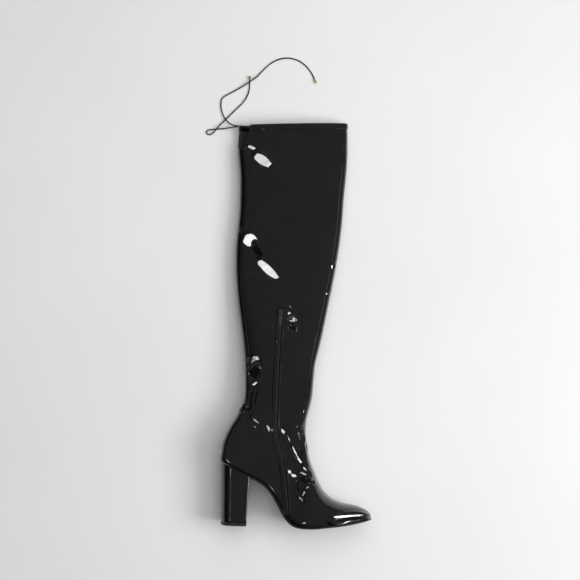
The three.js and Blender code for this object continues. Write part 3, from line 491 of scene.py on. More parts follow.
# Sections of the upper, toe to collar, as in the CAD model
TOE_COLUMNS = ("front_x", "low_x", "low", "rise", "half", "flat", "swing")
TOE_ROWS = [
    (0.997, 0.9965, 1.01, 0.16, 0.13, 0.75, 0.075),
    (0.99, 0.9866, 0.975, 0.31, 0.27, 0.82, 0.071),
    (0.972, 0.9665, 0.91, 0.477, 0.415, 0.87, 0.064),
    (0.9375, 0.931, 0.775, 0.688, 0.57, 0.9, 0.055),
    (0.884, 0.875, 0.59, 0.908, 0.729, 0.93, 0.041),
    (0.821, 0.8125, 0.41, 1.085, 0.85, 0.945, 0.026),
    (0.763, 0.748, 0.265, 1.31, 0.937, 0.955, 0.013),
    (0.714, 0.679, 0.12, 1.645, 0.987, 0.96, 0.004),
]
FOOT_COLUMNS = ("front_x", "low_x", "front", "low", "half", "widest", "flat", "swing")
FOOT_ROWS = [
    (0.674, 0.612, 0.278, 0.001, 1, 0.33, 0.96, 0),
    (0.643, 0.545, 0.342, 0.001, 0.977, 0.32, 0.945, -0.006),
    (0.613, 0.482, 0.42, 0.034, 0.916, 0.31, 0.91, -0.014),
    (0.588, 0.426, 0.493, 0.17, 0.84, 0.31, 0.86, -0.02),
    (0.573, 0.37, 0.566, 0.404, 0.78, 0.32, 0.83, -0.022),
    (0.564, 0.304, 0.634, 0.606, 0.742, 0.33, 0.83, -0.018),
    (0.56, 0.23, 0.698, 0.716, 0.734, 0.34, 0.84, -0.01),
    (0.563, 0.147, 0.761, 0.808, 0.742, 0.35, 0.84, -0.004),
    (0.572, 0.0625, 0.81, 0.898, 0.754, 0.36, 0.78, 0),
    (0.582, 0.0015, 0.849, 0.972, 0.759, 0.37, 0.6, 0),
]
ANKLE_COLUMNS = ("front_x", "low_x", "front", "low", "half", "widest", "flat", "centre")
ANKLE_ROWS = [
    (0.588, -0.002, 0.878, 0.1, 0.759, 0.38, 0.42, 1),
    (0.594, 0.006, 0.907, 0.227, 0.747, 0.4, 0.33, 1),
    (0.598, 0.028, 0.937, 0.364, 0.722, 0.42, 0.28, 1),
    (0.601, 0.064, 0.968, 0.509, 0.684, 0.44, 0.25, 0.995),
    (0.603, 0.109, 1.005, 0.6545, 0.646, 0.45, 0.23, 0.98),
    (0.605, 0.138, 1.044, 0.827, 0.608, 0.46, 0.21, 0.96),
    (0.6085, 0.144, 1.102, 1, 0.582, 0.47, 0.2, 0.93),
    (0.618, 0.141, 1.19, 1.236, 0.565, 0.48, 0.19, 0.895),
]
LEG_COLUMNS = ("front", "low", "front_x", "low_x", "middle", "over", "under")
LEG_ROWS = [
    (0.1595, 0.134, 0.282, -0.42, 0.74, 0.6, 0.62),
    (0.2405, 0.233, 0.3215, -0.451, 0.68, 0.575, 0.59),
    (0.342, 0.337, 0.3675, -0.488, 0.61, 0.545, 0.568),
    (0.448, 0.4455, 0.413, -0.51, 0.556, 0.525, 0.545),
    (0.549, 0.547, 0.448, -0.509, 0.53, 0.51, 0.53),
    (0.6455, 0.6405, 0.47, -0.49, 0.515, 0.5, 0.515),
    (0.734, 0.724, 0.4815, -0.484, 0.5, 0.486, 0.5),
    (0.823, 0.8125, 0.499, -0.488, 0.488, 0.467, 0.483),
    (0.8985, 0.891, 0.504, -0.506, 0.48, 0.435, 0.462),
    (0.962, 0.9495, 0.502, -0.502, 0.474, 0.4, 0.43),
    (1.0095, 0.996, 0.493, -0.492, 0.47, 0.378, 0.42),
]
TOE_WIDEST = 0.36
LEG_WIDEST = 0.5
UNDER_POWER = 5  # of the sides that lie down, from the ankle up
LEG_FLAT = 0.03
# The slack skin has tighter folds than its solid, and sinks to the floor at them:
# power, share of its height lost towards the folds, and sag there, toe to collar
TOE_SHAPE = (2.3, 0.0, 0)
FOOT_SHAPES = [
    (3.2, 0, 0), (5, 0, 0), (9, 0.02, 0), (14, 0.03, 0), (18, 0.05, 0), (20, 0.07, 0), (21, 0.09, 0),
    (22, 0.1, 0), (22, 0.12, 0), (22, 0.14, 0),
]
ANKLE_SHAPES = [
    (22, 0.15, 0), (22, 0.17, 0), (22, 0.19, 0), (22, 0.22, 0.3), (23, 0.25, 0.8), (24, 0.29, 1.6),
    (25, 0.33, 2.6), (26, 0.37, 3.6),
]
LEG_SHAPE = (26, 0.42, 5)
DOME_POWER = 1.9


def named_rows(columns, rows):
    return [dict(zip(columns, values)) for values in rows]


def section_table():
    found = []
    for r in named_rows(TOE_COLUMNS, TOE_ROWS):
        low = SOLE_TOP + r["low"] * TOE_SPRING
        half = r["half"] * BALL_WIDTH / 2
        found.append((
            r["front_x"] * FOOT_LENGTH, low + r["rise"] * TOE_BOX_HEIGHT, r["low_x"] * FOOT_LENGTH, low,
            foot_middle(r["low_x"] * FOOT_LENGTH) + r["swing"] * BALL_WIDTH,
            half, half, TOE_WIDEST, r["flat"], *TOE_SHAPE, TOE_SHAPE[0],
        ))
    for r, shape in zip(named_rows(FOOT_COLUMNS, FOOT_ROWS), FOOT_SHAPES):
        half = r["half"] * BALL_WIDTH / 2
        low_x = r["low_x"] * FOOT_LENGTH
        found.append((
            r["front_x"] * FOOT_LENGTH, r["front"] * ANKLE_HEIGHT, low_x, SOLE_TOP + r["low"] * HEEL_HEIGHT,
            foot_middle(low_x) + r["swing"] * BALL_WIDTH,
            half, half, r["widest"], r["flat"], *shape, min(shape[0], UNDER_POWER),
        ))
    for r, shape in zip(named_rows(ANKLE_COLUMNS, ANKLE_ROWS), ANKLE_SHAPES):
        half = r["half"] * BALL_WIDTH / 2
        low_y = HEEL_HEIGHT + r["low"] * (ANKLE_HEIGHT - HEEL_HEIGHT)
        found.append((
            r["front_x"] * FOOT_LENGTH, r["front"] * ANKLE_HEIGHT, r["low_x"] * FOOT_LENGTH, low_y,
            r["centre"] * COUNTER_MIDDLE, half, half, r["widest"], r["flat"], *shape, UNDER_POWER,
        ))
    rise = BOOT_HEIGHT - ANKLE_HEIGHT
    for r in named_rows(LEG_COLUMNS, LEG_ROWS):
        found.append((
            LEG_AXIS_X + r["front_x"] * COLLAR_WIDTH, ANKLE_HEIGHT + r["front"] * rise,
            LEG_AXIS_X + r["low_x"] * COLLAR_WIDTH, ANKLE_HEIGHT + r["low"] * rise,
            r["middle"] * LEG_DEPTH, r["over"] * LEG_DEPTH, r["under"] * LEG_DEPTH,
            LEG_WIDEST, LEG_FLAT, *LEG_SHAPE, UNDER_POWER,
        ))
    return np.array(found)


FRONT_X, FRONT_Y, LOW_X, LOW_Y, MIDDLE, OVER, UNDER, WIDEST, FLAT = range(9)
POWER_OVER, DOME, SAG, POWER_UNDER = range(9, 13)
FRONT_XY = [FRONT_X, FRONT_Y]
LOW_XY = [LOW_X, LOW_Y]
SECTIONS = section_table()
LAST = len(SECTIONS) - 1
SEAT_BACK_T = len(TOE_ROWS) + len(FOOT_ROWS) - 1
WAIST_T = SEAT_BACK_T - 5.2
BREAST_T = SEAT_BACK_T - 2.5


def spline_bends(values):
    """Second derivatives of natural cubic splines through rows one apart."""
    n = len(values)
    matrix = np.eye(n)
    pull = np.zeros_like(values)
    for i in range(1, n - 1):
        matrix[i, i - 1 : i + 2] = (1, 4, 1)
        pull[i] = 6 * (values[i + 1] - 2 * values[i] + values[i - 1])
    return np.linalg.solve(matrix, pull)


BENDS = spline_bends(SECTIONS)


def sections_at(ts):
    """Section columns at places ts along the upper: an array of one row for each place."""
    ts = np.asarray(ts, float)
    i = np.clip(np.floor(ts).astype(int), 0, LAST - 1)
    b = (ts - i)[:, None]
    a = 1 - b
    bends = (a**3 - a) * BENDS[i] + (b**3 - b) * BENDS[i + 1]
    return a * SECTIONS[i] + b * SECTIONS[i + 1] + bends / 6


# Ring places f: 0 to 1 over side from front to back, 1 to 2 the flat at the back, 2 to 3 under side
SIDE_STEPS = 220
FLAT_STEPS = 16
RING_STEPS = 2 * SIDE_STEPS + FLAT_STEPS
ROUNDING = 3  # smoothing passes that round the corners of a section


def side_line(section, half, power, dome):
    """Fine points [along, out] of one side of a section from its front to its low point."""
    out = 1 - (1 - np.linspace(0, 1, 160)) ** 2.5
    widest = section[WIDEST]
    fall = (1 - dome * out**DOME_POWER) * np.sqrt(1 - out**power)
    rear = np.sqrt(section[FLAT] ** 2 + (1 - section[FLAT] ** 2) * fall**2)
    front = np.stack([widest + (1 - widest) * out, half * fall], axis=1)[::-1]
    back = np.stack([widest * (1 - out), half * rear], axis=1)[1:]
    return np.concatenate([front, back])


def rings_2d(ts):
    """Closed section outlines as [distance from low, height over the middle], rounded at their corners."""
    found = []
    for section in sections_at(ts):
        length = math.hypot(section[FRONT_X] - section[LOW_X], section[FRONT_Y] - section[LOW_Y])
        over = side_line(section, section[OVER], section[POWER_OVER], section[DOME])
        under = side_line(section, section[UNDER], section[POWER_UNDER], 0)
        over, under = (spaced(line * (length, 1), SIDE_STEPS + 1) for line in (over, under))
        under = under[::-1] * (1, -1)
        share = np.linspace(0, 1, FLAT_STEPS + 1)[1:-1, None]
        flat = over[-1] * (1 - share) + under[0] * share
        found.append(np.concatenate([over, flat, under[:-1]]))
        widest = section[WIDEST]
        share = np.abs(found[-1][:, 0] / length - widest) / max(widest, 1 - widest)
        found[-1][:, 1] -= section[SAG] * share**2
    rings = np.array(found)
    for _ in range(ROUNDING):
        rings = (np.roll(rings, 1, axis=1) + 2 * rings + np.roll(rings, -1, axis=1)) / 4
    return rings


def each_row(ts, fs):
    """Places ts, and a row of ring places for each, where fs may be one list for all of them."""
    ts = np.atleast_1d(np.asarray(ts, float))
    fs = np.asarray(fs, float)
    return ts, np.repeat(fs[None], len(ts), axis=0) if fs.ndim == 1 else fs


def chords(section):
    """Direction of each section from its low point to its front."""
    return unit(section[:, FRONT_XY] - section[:, LOW_XY])


def base(ts, fs):
    """Points of the plain form at places ts and ring places fs, as an array (len(ts), len(fs), 3)."""
    ts, fs = each_row(ts, fs)
    index = np.interp(fs, [0, 1, 2, 3], [0, SIDE_STEPS, SIDE_STEPS + FLAT_STEPS, RING_STEPS])
    low = np.floor(index).astype(int)
    share = (index - low)[..., None]
    rings = rings_2d(ts)
    r = np.arange(len(ts))[:, None]
    flat = rings[r, low % RING_STEPS] * (1 - share) + rings[r, (low + 1) % RING_STEPS] * share
    section = sections_at(ts)
    xy = section[:, None, LOW_XY] + chords(section)[:, None] * flat[..., :1]
    z = section[:, None, MIDDLE] + flat[..., 1]
    return np.concatenate([xy, z[..., None]], axis=2)


def base_normals(ts, fs):
    """Outward unit normals of the plain form."""
    ts, fs = each_row(ts, fs)
    step_t = 0.03
    step_f = np.where((fs > 1) & (fs < 2), 0.06, 0.008)
    along = base(np.minimum(ts + step_t, LAST), fs) - base(np.maximum(ts - step_t, 0), fs)
    round_ = base(ts, (fs + step_f) % 3) - base(ts, (fs - step_f) % 3)
    return unit(np.cross(along, round_))


# Creases of the upper: troughs, ridges, facets and puckers, placed in boot millimetres


def smooth_step(x):
    x = np.clip(x, 0, 1)
    return x * x * (3 - 2 * x)


def line_distance(x, y, path):
    """Distance to a polyline, signed positive on its left, and the share of its length at the foot."""
    path = np.asarray(path, float)
    starts = places_along(path)
    lengths = np.diff(starts)
    best = np.full(x.shape, 1e9)
    signed = np.zeros_like(best)
    share = np.zeros_like(best)
    for (ax, ay), (bx, by), length, start in zip(path[:-1], path[1:], lengths, starts):
        ux, uy = (bx - ax) / length, (by - ay) / length
        along = np.clip((x - ax) * ux + (y - ay) * uy, 0, length)
        dx, dy = x - ax - along * ux, y - ay - along * uy
        distance = np.hypot(dx, dy)
        nearer = distance < best
        best = np.where(nearer, distance, best)
        signed = np.where(nearer, np.sign(ux * dy - uy * dx) * distance, signed)
        share = np.where(nearer, (start + along) / starts[-1], share)
    return signed, share


def fold(x, y, height, path, width, rise):
    """A soft ridge (rise > 0) or trough along a curved path, fading at both ends."""
    signed, share = line_distance(x, y, catmull_rom(path, 8))
    ends = smooth_step(np.minimum(share, 1 - share) / 0.25)
    return height + rise * ends * np.exp(-((signed / width) ** 2))


def facet(
    x, y, height, centre_x, centre_y, length, width, heading,
    light=None, tilt=0, towards=0, bend=0.0, soft=0.35,
):
    """A flat leaf-shaped patch of a length and width whose length runs along heading (degrees from
    +X), curved by bend. It mirrors a light to the camera, or lies at a tilt facing towards."""
    a = math.radians(heading)
    dx, dy = x - centre_x, y - centre_y
    along = (dx * math.cos(a) + dy * math.sin(a)) / (length / 2)
    across = (-dx * math.sin(a) + dy * math.cos(a)) / (width / 2) - bend * (along**2 - 0.3)
    leaf = np.maximum(1 - along**2, 0) ** 0.75
    inside = smooth_step((leaf * (1 + soft) - np.abs(across)) / soft)
    inside = inside * smooth_step((1 - np.abs(along)) / soft)
    middle = np.unravel_index(np.argmin(dx**2 + dy**2), dx.shape)
    level = height[middle]
    light = light or ("instep_spot" if centre_x > 80 and centre_y < 160 else "softbox")
    mirrored = mirror_slope(np.array([centre_x, centre_y, level]), light)
    slope = tilt_slope(tilt, towards) if tilt else mirrored
    plane = level - slope[0] * dx - slope[1] * dy
    return height + inside * np.clip(plane - height, -DEEPEST, HIGHEST)


def shadow(x, y, height, *sizes, tilt=23, towards=235, soft=0.7):
    """A steep patch that mirrors the dark side of the room."""
    return facet(x, y, height, *sizes, tilt=tilt, towards=towards, soft=soft)


def pucker(x, y, height, path, width, rise, pitch):
    """Small gathers across a seam: waves along the path that fade away from it."""
    path = catmull_rom(path, 6)
    signed, share = line_distance(x, y, path)
    phase = share * places_along(path)[-1] / pitch * 2 * math.pi
    ends = smooth_step(np.minimum(share, 1 - share) / 0.12)
    wobble = np.sin(phase + 0.7 * np.sin(phase * 0.37))
    return height + rise * ends * wobble * np.exp(-((signed / width) ** 2))


DEEPEST = 5  # most that a patch may sink
HIGHEST = 3.5  # and rise
# A facet or shadow has its middle's X and Y, its length, width and heading, and what else it needs.
# A fold has its path, width and rise, and a pucker also its pitch.
OVER_CREASES = [
    # below the slit and down the back half of the leg
    (facet, 53, 545, 42, 16, -36),
    (facet, 36, 564, 20, 8, -26),
    (facet, 45, 590.5, 6, 4.5, 60),
    (fold, [(48, 588), (60, 583), (74, 582)], 2.2, -0.4),
    (fold, [(26, 514), (30, 507), (38, 504.5), (48, 505)], 1.7, 0.27),
    (fold, [(55, 488), (46, 478), (41.5, 468), (44.5, 455)], 2.6, 0.28),
    (fold, [(61, 471), (65.5, 462), (63, 452)], 2.6, 0.28),
    (facet, 36.5, 425, 30, 22, -20),
    (facet, 64, 382, 58, 15, -43, dict(bend=0.25)),
    (shadow, 47, 410.5, 31, 12, -74, dict(tilt=26, soft=0.4)),
    (shadow, 35.5, 374.5, 9, 6, -10),
    (fold, [(21, 368), (29, 361), (38, 356)], 1.9, 0.45),
    (fold, [(104, 408), (124, 392), (143, 370)], 8, 0.5),
    (shadow, 171, 577, 34, 8, -72, dict(tilt=26, towards=20)),
    (facet, 161, 387.5, 13, 6, 72, dict(light="toe_strip")),
    (facet, 153, 346.5, 8, 5.5, 70, dict(light="toe_strip")),
    (fold, [(140, 300), (152, 285), (160, 262)], 3, 0.7),
    (facet, 23, 438, 12, 4.5, 84),
    # round the top of the zip
    (facet, 98.5, 326.5, 12, 5, -22),
    (facet, 97.5, 316, 13, 8.5, -48),
    (facet, 101.5, 308, 15, 12.5, -62),
    (shadow, 100.5, 310.5, 8, 2.6, 22, dict(soft=0.5)),
    (facet, 104.5, 303.5, 8, 5.5, -15),
    (shadow, 102.5, 294.5, 18, 10, 80, dict(soft=0.5)),
    (fold, [(104, 322), (110, 311), (110, 297), (104, 283), (97, 270)], 1.9, 0.75),
    (fold, [(50, 292), (55, 304), (62, 313), (71, 320)], 2.1, 0.4),
    # back of the shin
    (facet, 46.5, 246.5, 24, 13, 28),
    (facet, 39, 229, 24, 3.4, 84),
    (facet, 47, 212, 15, 9, 35),
    (shadow, 47.5, 229, 37, 11.5, 68, dict(tilt=25, soft=0.45)),
    (fold, [(46, 206), (42, 196), (40.5, 183), (38.5, 170)], 2.2, -1.3),
    (fold, [(52, 204), (48, 192), (46.5, 178)], 2.2, -1.0),
    (fold, [(55, 262), (60, 240), (57, 216)], 3, 0.5),
    # back of the ankle, over the counter's stiff top edge
    (shadow, 32, 174, 22, 15, 75, dict(tilt=20)),
    (fold, [(24, 170), (33, 168.6), (46, 166)], 2.6, -1.6),
    (facet, 35, 163.6, 26, 7.5, -8),
    (facet, 50, 157.6, 25, 8, -38),
    (fold, [(42, 152), (52, 143), (62, 141)], 2.4, -0.9),
    (facet, 66.5, 155.8, 8, 6, 70),
    (facet, 69.5, 146.5, 18, 8.5, -80),
    (fold, [(53, 132), (62, 131), (70, 126)], 2.2, 0.6),
    (fold, [(57, 124), (65, 122), (74, 116)], 2.2, 0.5),
    (pucker, [(71, 141), (74, 128), (80, 113)], 3.2, 0.45, 4.6),
    # front of the ankle and the instep
    (shadow, 112.5, 113, 30, 8, -62, dict(towards=30, tilt=22)),
    (facet, 92, 141.5, 22, 8, -38),
    (facet, 100.5, 130, 28, 4.6, -66),
    (facet, 108.5, 114.5, 28, 4.6, -62),
    (facet, 117, 99.5, 28, 5, -58),
    (facet, 127.5, 85, 28, 6, -50),
    (fold, [(109, 160), (111, 142), (117, 125), (126, 108)], 3.4, -1.6),
    (facet, 119.5, 150, 22, 3, -92),
    (facet, 122, 134, 20, 3, -78),
    (facet, 128, 118, 20, 3, -68),
    (shadow, 128, 69.5, 24, 11, -12, dict(tilt=20)),
    (facet, 101, 83, 13, 8, -30),
    (facet, 108.5, 77.5, 13, 8, -32),
    (facet, 122.5, 81, 18, 6, -25),
    (facet, 134, 66.8, 19, 5.6, 24),
    (facet, 127, 60, 18, 5.6, 50),
    (facet, 123.6, 52.5, 15, 5.4, 74),
    (facet, 119.5, 44, 17, 4.6, -44),
    (fold, [(113, 73), (112, 62), (116, 51)], 2.2, -0.8),
    (facet, 139.5, 41, 6, 5, 0),
    # lower side of the toe
    (facet, 192, 15.5, 78, 17, 4, dict(tilt=18, towards=28, soft=0.5)),
    (facet, 187, 19.8, 60, 4.6, 1, dict(light="toe_strip")),
    (facet, 201, 13.4, 46, 4.6, 7, dict(light="toe_strip")),
    (shadow, 196, 16.7, 54, 3.4, 4, dict(tilt=30, towards=285, soft=0.5)),
]
UNDER_CREASES = [
    (fold, [(60, 470), (90, 440), (130, 420)], 9, -1.2),
    (fold, [(40, 380), (75, 345), (110, 335)], 8, 1.0),
    (fold, [(40, 262), (70, 246), (110, 250)], 7, -1.1),
    (fold, [(35, 200), (70, 190), (105, 205)], 6, -1.4),
    (fold, [(60, 165), (90, 150), (120, 140)], 5, 1.2),
    (fold, [(75, 140), (105, 120), (130, 95)], 5, -1.2),
]
EDGE_FADE = 0.05  # share of the upper face over which creases fade out at its folds


def creased(x, y, height, creases):
    """Heights over the XY plane after a list of creases."""
    for kind, *sizes in creases:
        options = sizes.pop() if isinstance(sizes[-1], dict) else {}
        height = kind(x, y, height, *sizes, **options)
    return height


# Places of the skin's grid
OVER_COLUMNS = 124
BACK_COLUMNS = 10
UNDER_COLUMNS = 44
ROW_STEP = 1.55
EDGE_BIAS = 0.5  # how much closer the columns lie to the folds


def biased(count):
    x = np.linspace(0, 1, count + 1)
    return (1 - EDGE_BIAS) * x + EDGE_BIAS * (0.5 - 0.5 * np.cos(math.pi * x))


def skin_rows():
    fine = np.linspace(0, LAST, 1200)
    section = sections_at(fine)
    along = (places_along(section[:, FRONT_XY]) + places_along(section[:, LOW_XY])) / 2
    return np.interp(np.linspace(0, along[-1], int(along[-1] / ROW_STEP)), along, fine)


def skin_columns():
    over = biased(OVER_COLUMNS)
    back = 1 + np.linspace(0, 1, BACK_COLUMNS + 1)[1:]
    under = 2 + biased(UNDER_COLUMNS)[1:-1]
    return np.concatenate([over, back, under])


COLLAR_STEP = 18.6  # millimetres of leg between the last two sections
SLIT_TOP_WIDTH = SLIT_WIDTH + 1
SLIT_FOOT_WIDTH = SLIT_WIDTH - 3.5


def collar_t(down):
    """Place along the upper at a distance down from the collar."""
    return LAST - np.asarray(down, float) / COLLAR_STEP


def slit_places(ts):
    """Ring places of the slit's edge on the over side, at places ts."""
    rings = rings_2d(ts)
    found = []
    for t, ring in zip(ts, rings):
        share = min(max((LAST - t) * COLLAR_STEP / SLIT_DEPTH, 0), 1)
        inwards = SLIT_TOP_WIDTH + (SLIT_FOOT_WIDTH - SLIT_TOP_WIDTH) * share**1.5
        side = ring[: SIDE_STEPS + 1, 0][::-1]
        found.append(1 - np.interp(inwards, side, np.arange(SIDE_STEPS + 1)) / SIDE_STEPS)
    return np.array(found)


SKIN_T = skin_rows()
SLIT_ROW = int(np.argmin(np.abs(SKIN_T - collar_t(SLIT_DEPTH))))
SLIT_COLUMN = int(np.argmin(np.abs(skin_columns() - slit_places([LAST])[0])))
SLIT_END_COLUMN = OVER_COLUMNS + BACK_COLUMNS // 2


SLIT_FADE_ROWS = 14  # over which the shift fades out under the slit
SLIT_REACH = 10  # columns beside the slit's that shift with it


def skin_places():
    """Ring places of the skin's grid, shifted so that one column follows the slit's edge."""
    columns = skin_columns()
    places = np.repeat(columns[None], len(SKIN_T), axis=0)
    shift = slit_places(SKIN_T) - columns[SLIT_COLUMN]
    fade = smooth_step(1 - (SLIT_ROW - np.arange(len(SKIN_T))) / SLIT_FADE_ROWS)
    hat = np.clip(1 - np.abs(np.arange(len(columns)) - SLIT_COLUMN) / SLIT_REACH, 0, 1)
    return places + (shift * fade)[:, None] * hat


SKIN_F = skin_places()


def in_slit(r, c):
    return r >= SLIT_ROW and SLIT_COLUMN <= c < SLIT_END_COLUMN


# Zip line on the inner side, from its top to the sole, as in the CAD model
ZIP_TOP = 325
ZIP_ROWS = [
    (0.3786, 1), (0.3714, 0.86), (0.3616, 0.713), (0.3585, 0.5655), (0.3612, 0.455), (0.3795, 0.374),
    (0.409, 0.2865), (0.427, 0.198), (0.439, 0.11), (0.443, 0.062),
]
ZIP_PATH = catmull_rom([(x * FOOT_LENGTH, y * ZIP_TOP) for x, y in ZIP_ROWS], 6)
ZIP_CHANNEL = 1.1  # how deep the skin dips under the zip
ZIP_CHANNEL_HALF = 3.4
LIP_OUTER = 6.2
LIP_INNER = 2.3


def zip_channel(x, y):
    signed, share = line_distance(x, y, ZIP_PATH)
    side = 1 - smooth_step((np.abs(signed) - ZIP_CHANNEL_HALF) / 2)
    return -ZIP_CHANNEL * side * smooth_step(share / 0.02)


BACK_SEAM_IN = 4.5  # back seam's distance in from the back fold
BACK_SEAM_DEPTH = 0.35
BACK_SEAM_HALF = 0.75


def back_seam(ts, points, fs):
    """Pressed seam down the back of the leg, as a narrow groove."""
    section = sections_at(ts)
    inwards = ((points[..., :2] - section[:, None, LOW_XY]) * chords(section)[:, None]).sum(axis=2)
    leg = smooth_step((np.asarray(ts) - SEAT_BACK_T - 4) / 1.5)[:, None]
    groove = np.exp(-(((inwards - BACK_SEAM_IN) / BACK_SEAM_HALF) ** 2))
    return np.where(fs < 1, -BACK_SEAM_DEPTH * groove * leg, 0)


def skin_heights(ts, fs, points, normals):
    """How far the creases move the skin outwards."""
    x, y, z = points.transpose(2, 0, 1)
    up = np.maximum(normals[..., 2], 0.35)
    over_edge = smooth_step(np.minimum(fs, 1 - fs) / EDGE_FADE)
    top = np.where(fs <= 1, z, -1e3)
    side = slice(0, OVER_COLUMNS + 1)
    over = np.zeros_like(z)
    over[:, side] = creased(x[:, side], y[:, side], top[:, side], OVER_CREASES) - top[:, side]
    over = over * up * over_edge + back_seam(ts, points, fs)
    under_edge = smooth_step(np.minimum(fs - 2, 3 - fs) / 0.15)
    under = creased(x, y, np.zeros_like(x), UNDER_CREASES) * under_edge
    return np.where(fs < 1, over, under)


def skin_points():
    """The skin's grid without and with its zip channel, its normals and its crease heights."""
    points = base(SKIN_T, SKIN_F)
    normals = base_normals(SKIN_T, SKIN_F)
    heights = skin_heights(SKIN_T, SKIN_F, points, normals)
    plain = points + normals * heights[..., None]
    channel = np.where(SKIN_F < 1, zip_channel(points[..., 0], points[..., 1]), 0)
    return plain, plain + normals * channel[..., None], normals, heights


PLAIN_SKIN, SKIN, SKIN_NORMALS, SKIN_HEIGHTS = skin_points()
SKIN_TREE = BVHTree.FromPolygons(
    PLAIN_SKIN[:, : OVER_COLUMNS + 1].reshape(-1, 3).tolist(), grid_faces(len(SKIN_T), OVER_COLUMNS + 1)
)


RAY_TOP = 200  # over everything
MISSED_LEVEL = 30  # where a point beside the skin looks for the nearest of it


def on_skin(flat):
    """Points and normals of the creased upper face over points of the XY plane."""
    points, normals = [], []
    for x, y in flat:
        hit, normal, _, _ = SKIN_TREE.ray_cast(Vector((x, y, RAY_TOP)), Vector((0, 0, -1)))
        if hit is None:
            hit, normal, _, _ = SKIN_TREE.find_nearest(Vector((x, y, MISSED_LEVEL)))
        points.append(tuple(hit))
        normals.append(tuple(normal if normal.z > 0 else -normal))
    return np.array(points), unit(normals)


def eased(values, passes=3):
    """Values along a line, smoothed, with both ends kept."""
    values = np.array(values, float)
    for _ in range(passes):
        values[1:-1] = (values[:-2] + 2 * values[1:-1] + values[2:]) / 4
    return values


def make_skin():
    rows, columns = SKIN.shape[:2]
    faces = grid_faces(rows, columns, wrap=True, skip=in_slit)
    nose = SKIN[0].mean(axis=0) + (0.4, 0, 0)
    cap = [nose + (SKIN[0] - nose) * share + (0.25 * (1 - share), 0, 0) for share in (0.66, 0.33)]
    points = np.concatenate([SKIN.reshape(-1, 3), *cap, nose[None]])
    first, second, hub = rows * columns, rows * columns + columns, rows * columns + 2 * columns
    for c in range(columns):
        d = (c + 1) % columns
        faces.append((first + c, first + d, d, c))
        faces.append((second + c, second + d, first + d, first + c))
        faces.append((hub, second + d, second + c))
    piece = make_piece("upper_skin", points, faces, PATENT)
    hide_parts("upper")


LINING_DEPTH = UPPER_WALL - 0.2


def make_lining():
    """Inside face of the upper, on every third row and column of the skin and on the slit's edges."""
    first_row = int(np.argmin(np.abs(SKIN_T - 2)))
    rows = sorted({*range(first_row, len(SKIN_T), 3), SLIT_ROW, len(SKIN_T) - 1})
    columns = sorted({*range(0, SKIN.shape[1], 3), SLIT_COLUMN, SLIT_END_COLUMN})
    inner = (SKIN - SKIN_NORMALS * LINING_DEPTH)[np.ix_(rows, columns)]
    faces = grid_faces(
        len(rows), len(columns), wrap=True, flip=True, skip=lambda r, c: in_slit(rows[r], columns[c])
    )
    make_piece("lining_sock", inner.reshape(-1, 3), faces, LINING, inside_out=True)


SLIT_EDGE_RADIUS = 0.95


def make_slit_edge():
    """Turned edge of the sheet round the slit."""
    rows = range(len(SKIN_T) - 1, SLIT_ROW, -1)
    columns = range(SLIT_COLUMN, SLIT_END_COLUMN + 1)
    border = [SKIN[r, SLIT_COLUMN] for r in rows] + [SKIN[SLIT_ROW, c] for c in columns]
    outs = [SKIN_NORMALS[r, SLIT_COLUMN] for r in rows] + [SKIN_NORMALS[SLIT_ROW, c] for c in columns]
    outs = eased(outs, 4)
    centres = eased(border, 3) - outs * (SLIT_EDGE_RADIUS * 0.75)
    ahead = unit(np.gradient(centres, axis=0))
    side = unit(np.cross(ahead, outs))
    points = sweep(centres, side, np.cross(side, ahead), oval(12, SLIT_EDGE_RADIUS))
    make_piece("slit_edge", points, capped_tube_faces(len(centres), 12), PATENT)


HEM_PROFILE = [  # distance down from the collar, and height over the skin
    (9.4, -0.2), (9.35, 0.55), (8.9, 0.95), (7.9, 0.8), (6.5, 1.15), (4, 1.35), (2, 1.3), (0.8, 1.1),
    (0.2, 0.5), (0, -0.4), (0.1, -1.3), (0.7, -1.95), (2.5, -2.15), (6, -2.1), (9.4, -1.9),
    (HEM_HEIGHT, -1.2),
]
HEM_WAVE = 0.18
HEM_SEAM = (8.15, 0.92)  # distance down from the collar, and height over the skin


def hem_places(t):
    """Ring places once round the collar, from the slit's edge by the front fold to the back."""
    over = np.linspace(slit_places([t])[0], 0, 130)
    under = np.linspace(3, 2, 80)[1:]
    back = np.linspace(2, 1.5, 6)[1:]
    return np.concatenate([over, under, back])


def shell_points(ts, fs, offsets):
    """Points at offsets over the creased upper, at places ts with a row of ring places each."""
    points = base(ts, fs)
    normals = base_normals(ts, fs)
    rows = np.interp(ts, SKIN_T, np.arange(len(SKIN_T)))
    heights = []
    for place, f in zip(rows, fs):
        r = min(int(place), len(SKIN_T) - 2)
        here, after = (np.interp(f, SKIN_F[i], SKIN_HEIGHTS[i]) for i in (r, r + 1))
        heights.append(here + (after - here) * (place - r))
    return points + normals * (np.array(heights) + offsets)[..., None], normals


def make_hem():
    """Hem that holds the drawstring: a folded band round the collar, slightly gathered."""
    ts = collar_t([down for down, _ in HEM_PROFILE])
    fs = np.array([hem_places(t) for t in ts])
    along = np.linspace(0, 1, fs.shape[1])
    wave = HEM_WAVE * (np.sin(along * 150) + 0.6 * np.sin(along * 87 + 1))
    rises = np.array([rise for _, rise in HEM_PROFILE])
    offsets = rises[:, None] + np.where(rises > 0.6, 1, 0)[:, None] * wave
    rings = shell_points(ts, fs, offsets)[0].transpose(1, 0, 2)
    faces = capped_tube_faces(len(rings), len(HEM_PROFILE))
    piece = make_piece("hem_band", rings.reshape(-1, 3), faces, PATENT)
    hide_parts("collar_hem")


STITCH = (2.7, 1.9, 0.21)  # pitch, length and radius
FINE_STITCH = (2.6, 1.7, 0.17)
STITCH_HALF = [(0.2, 0.35, 1), (0.4, -0.3, 0.9), (0.5, -1.3, 0.5)]
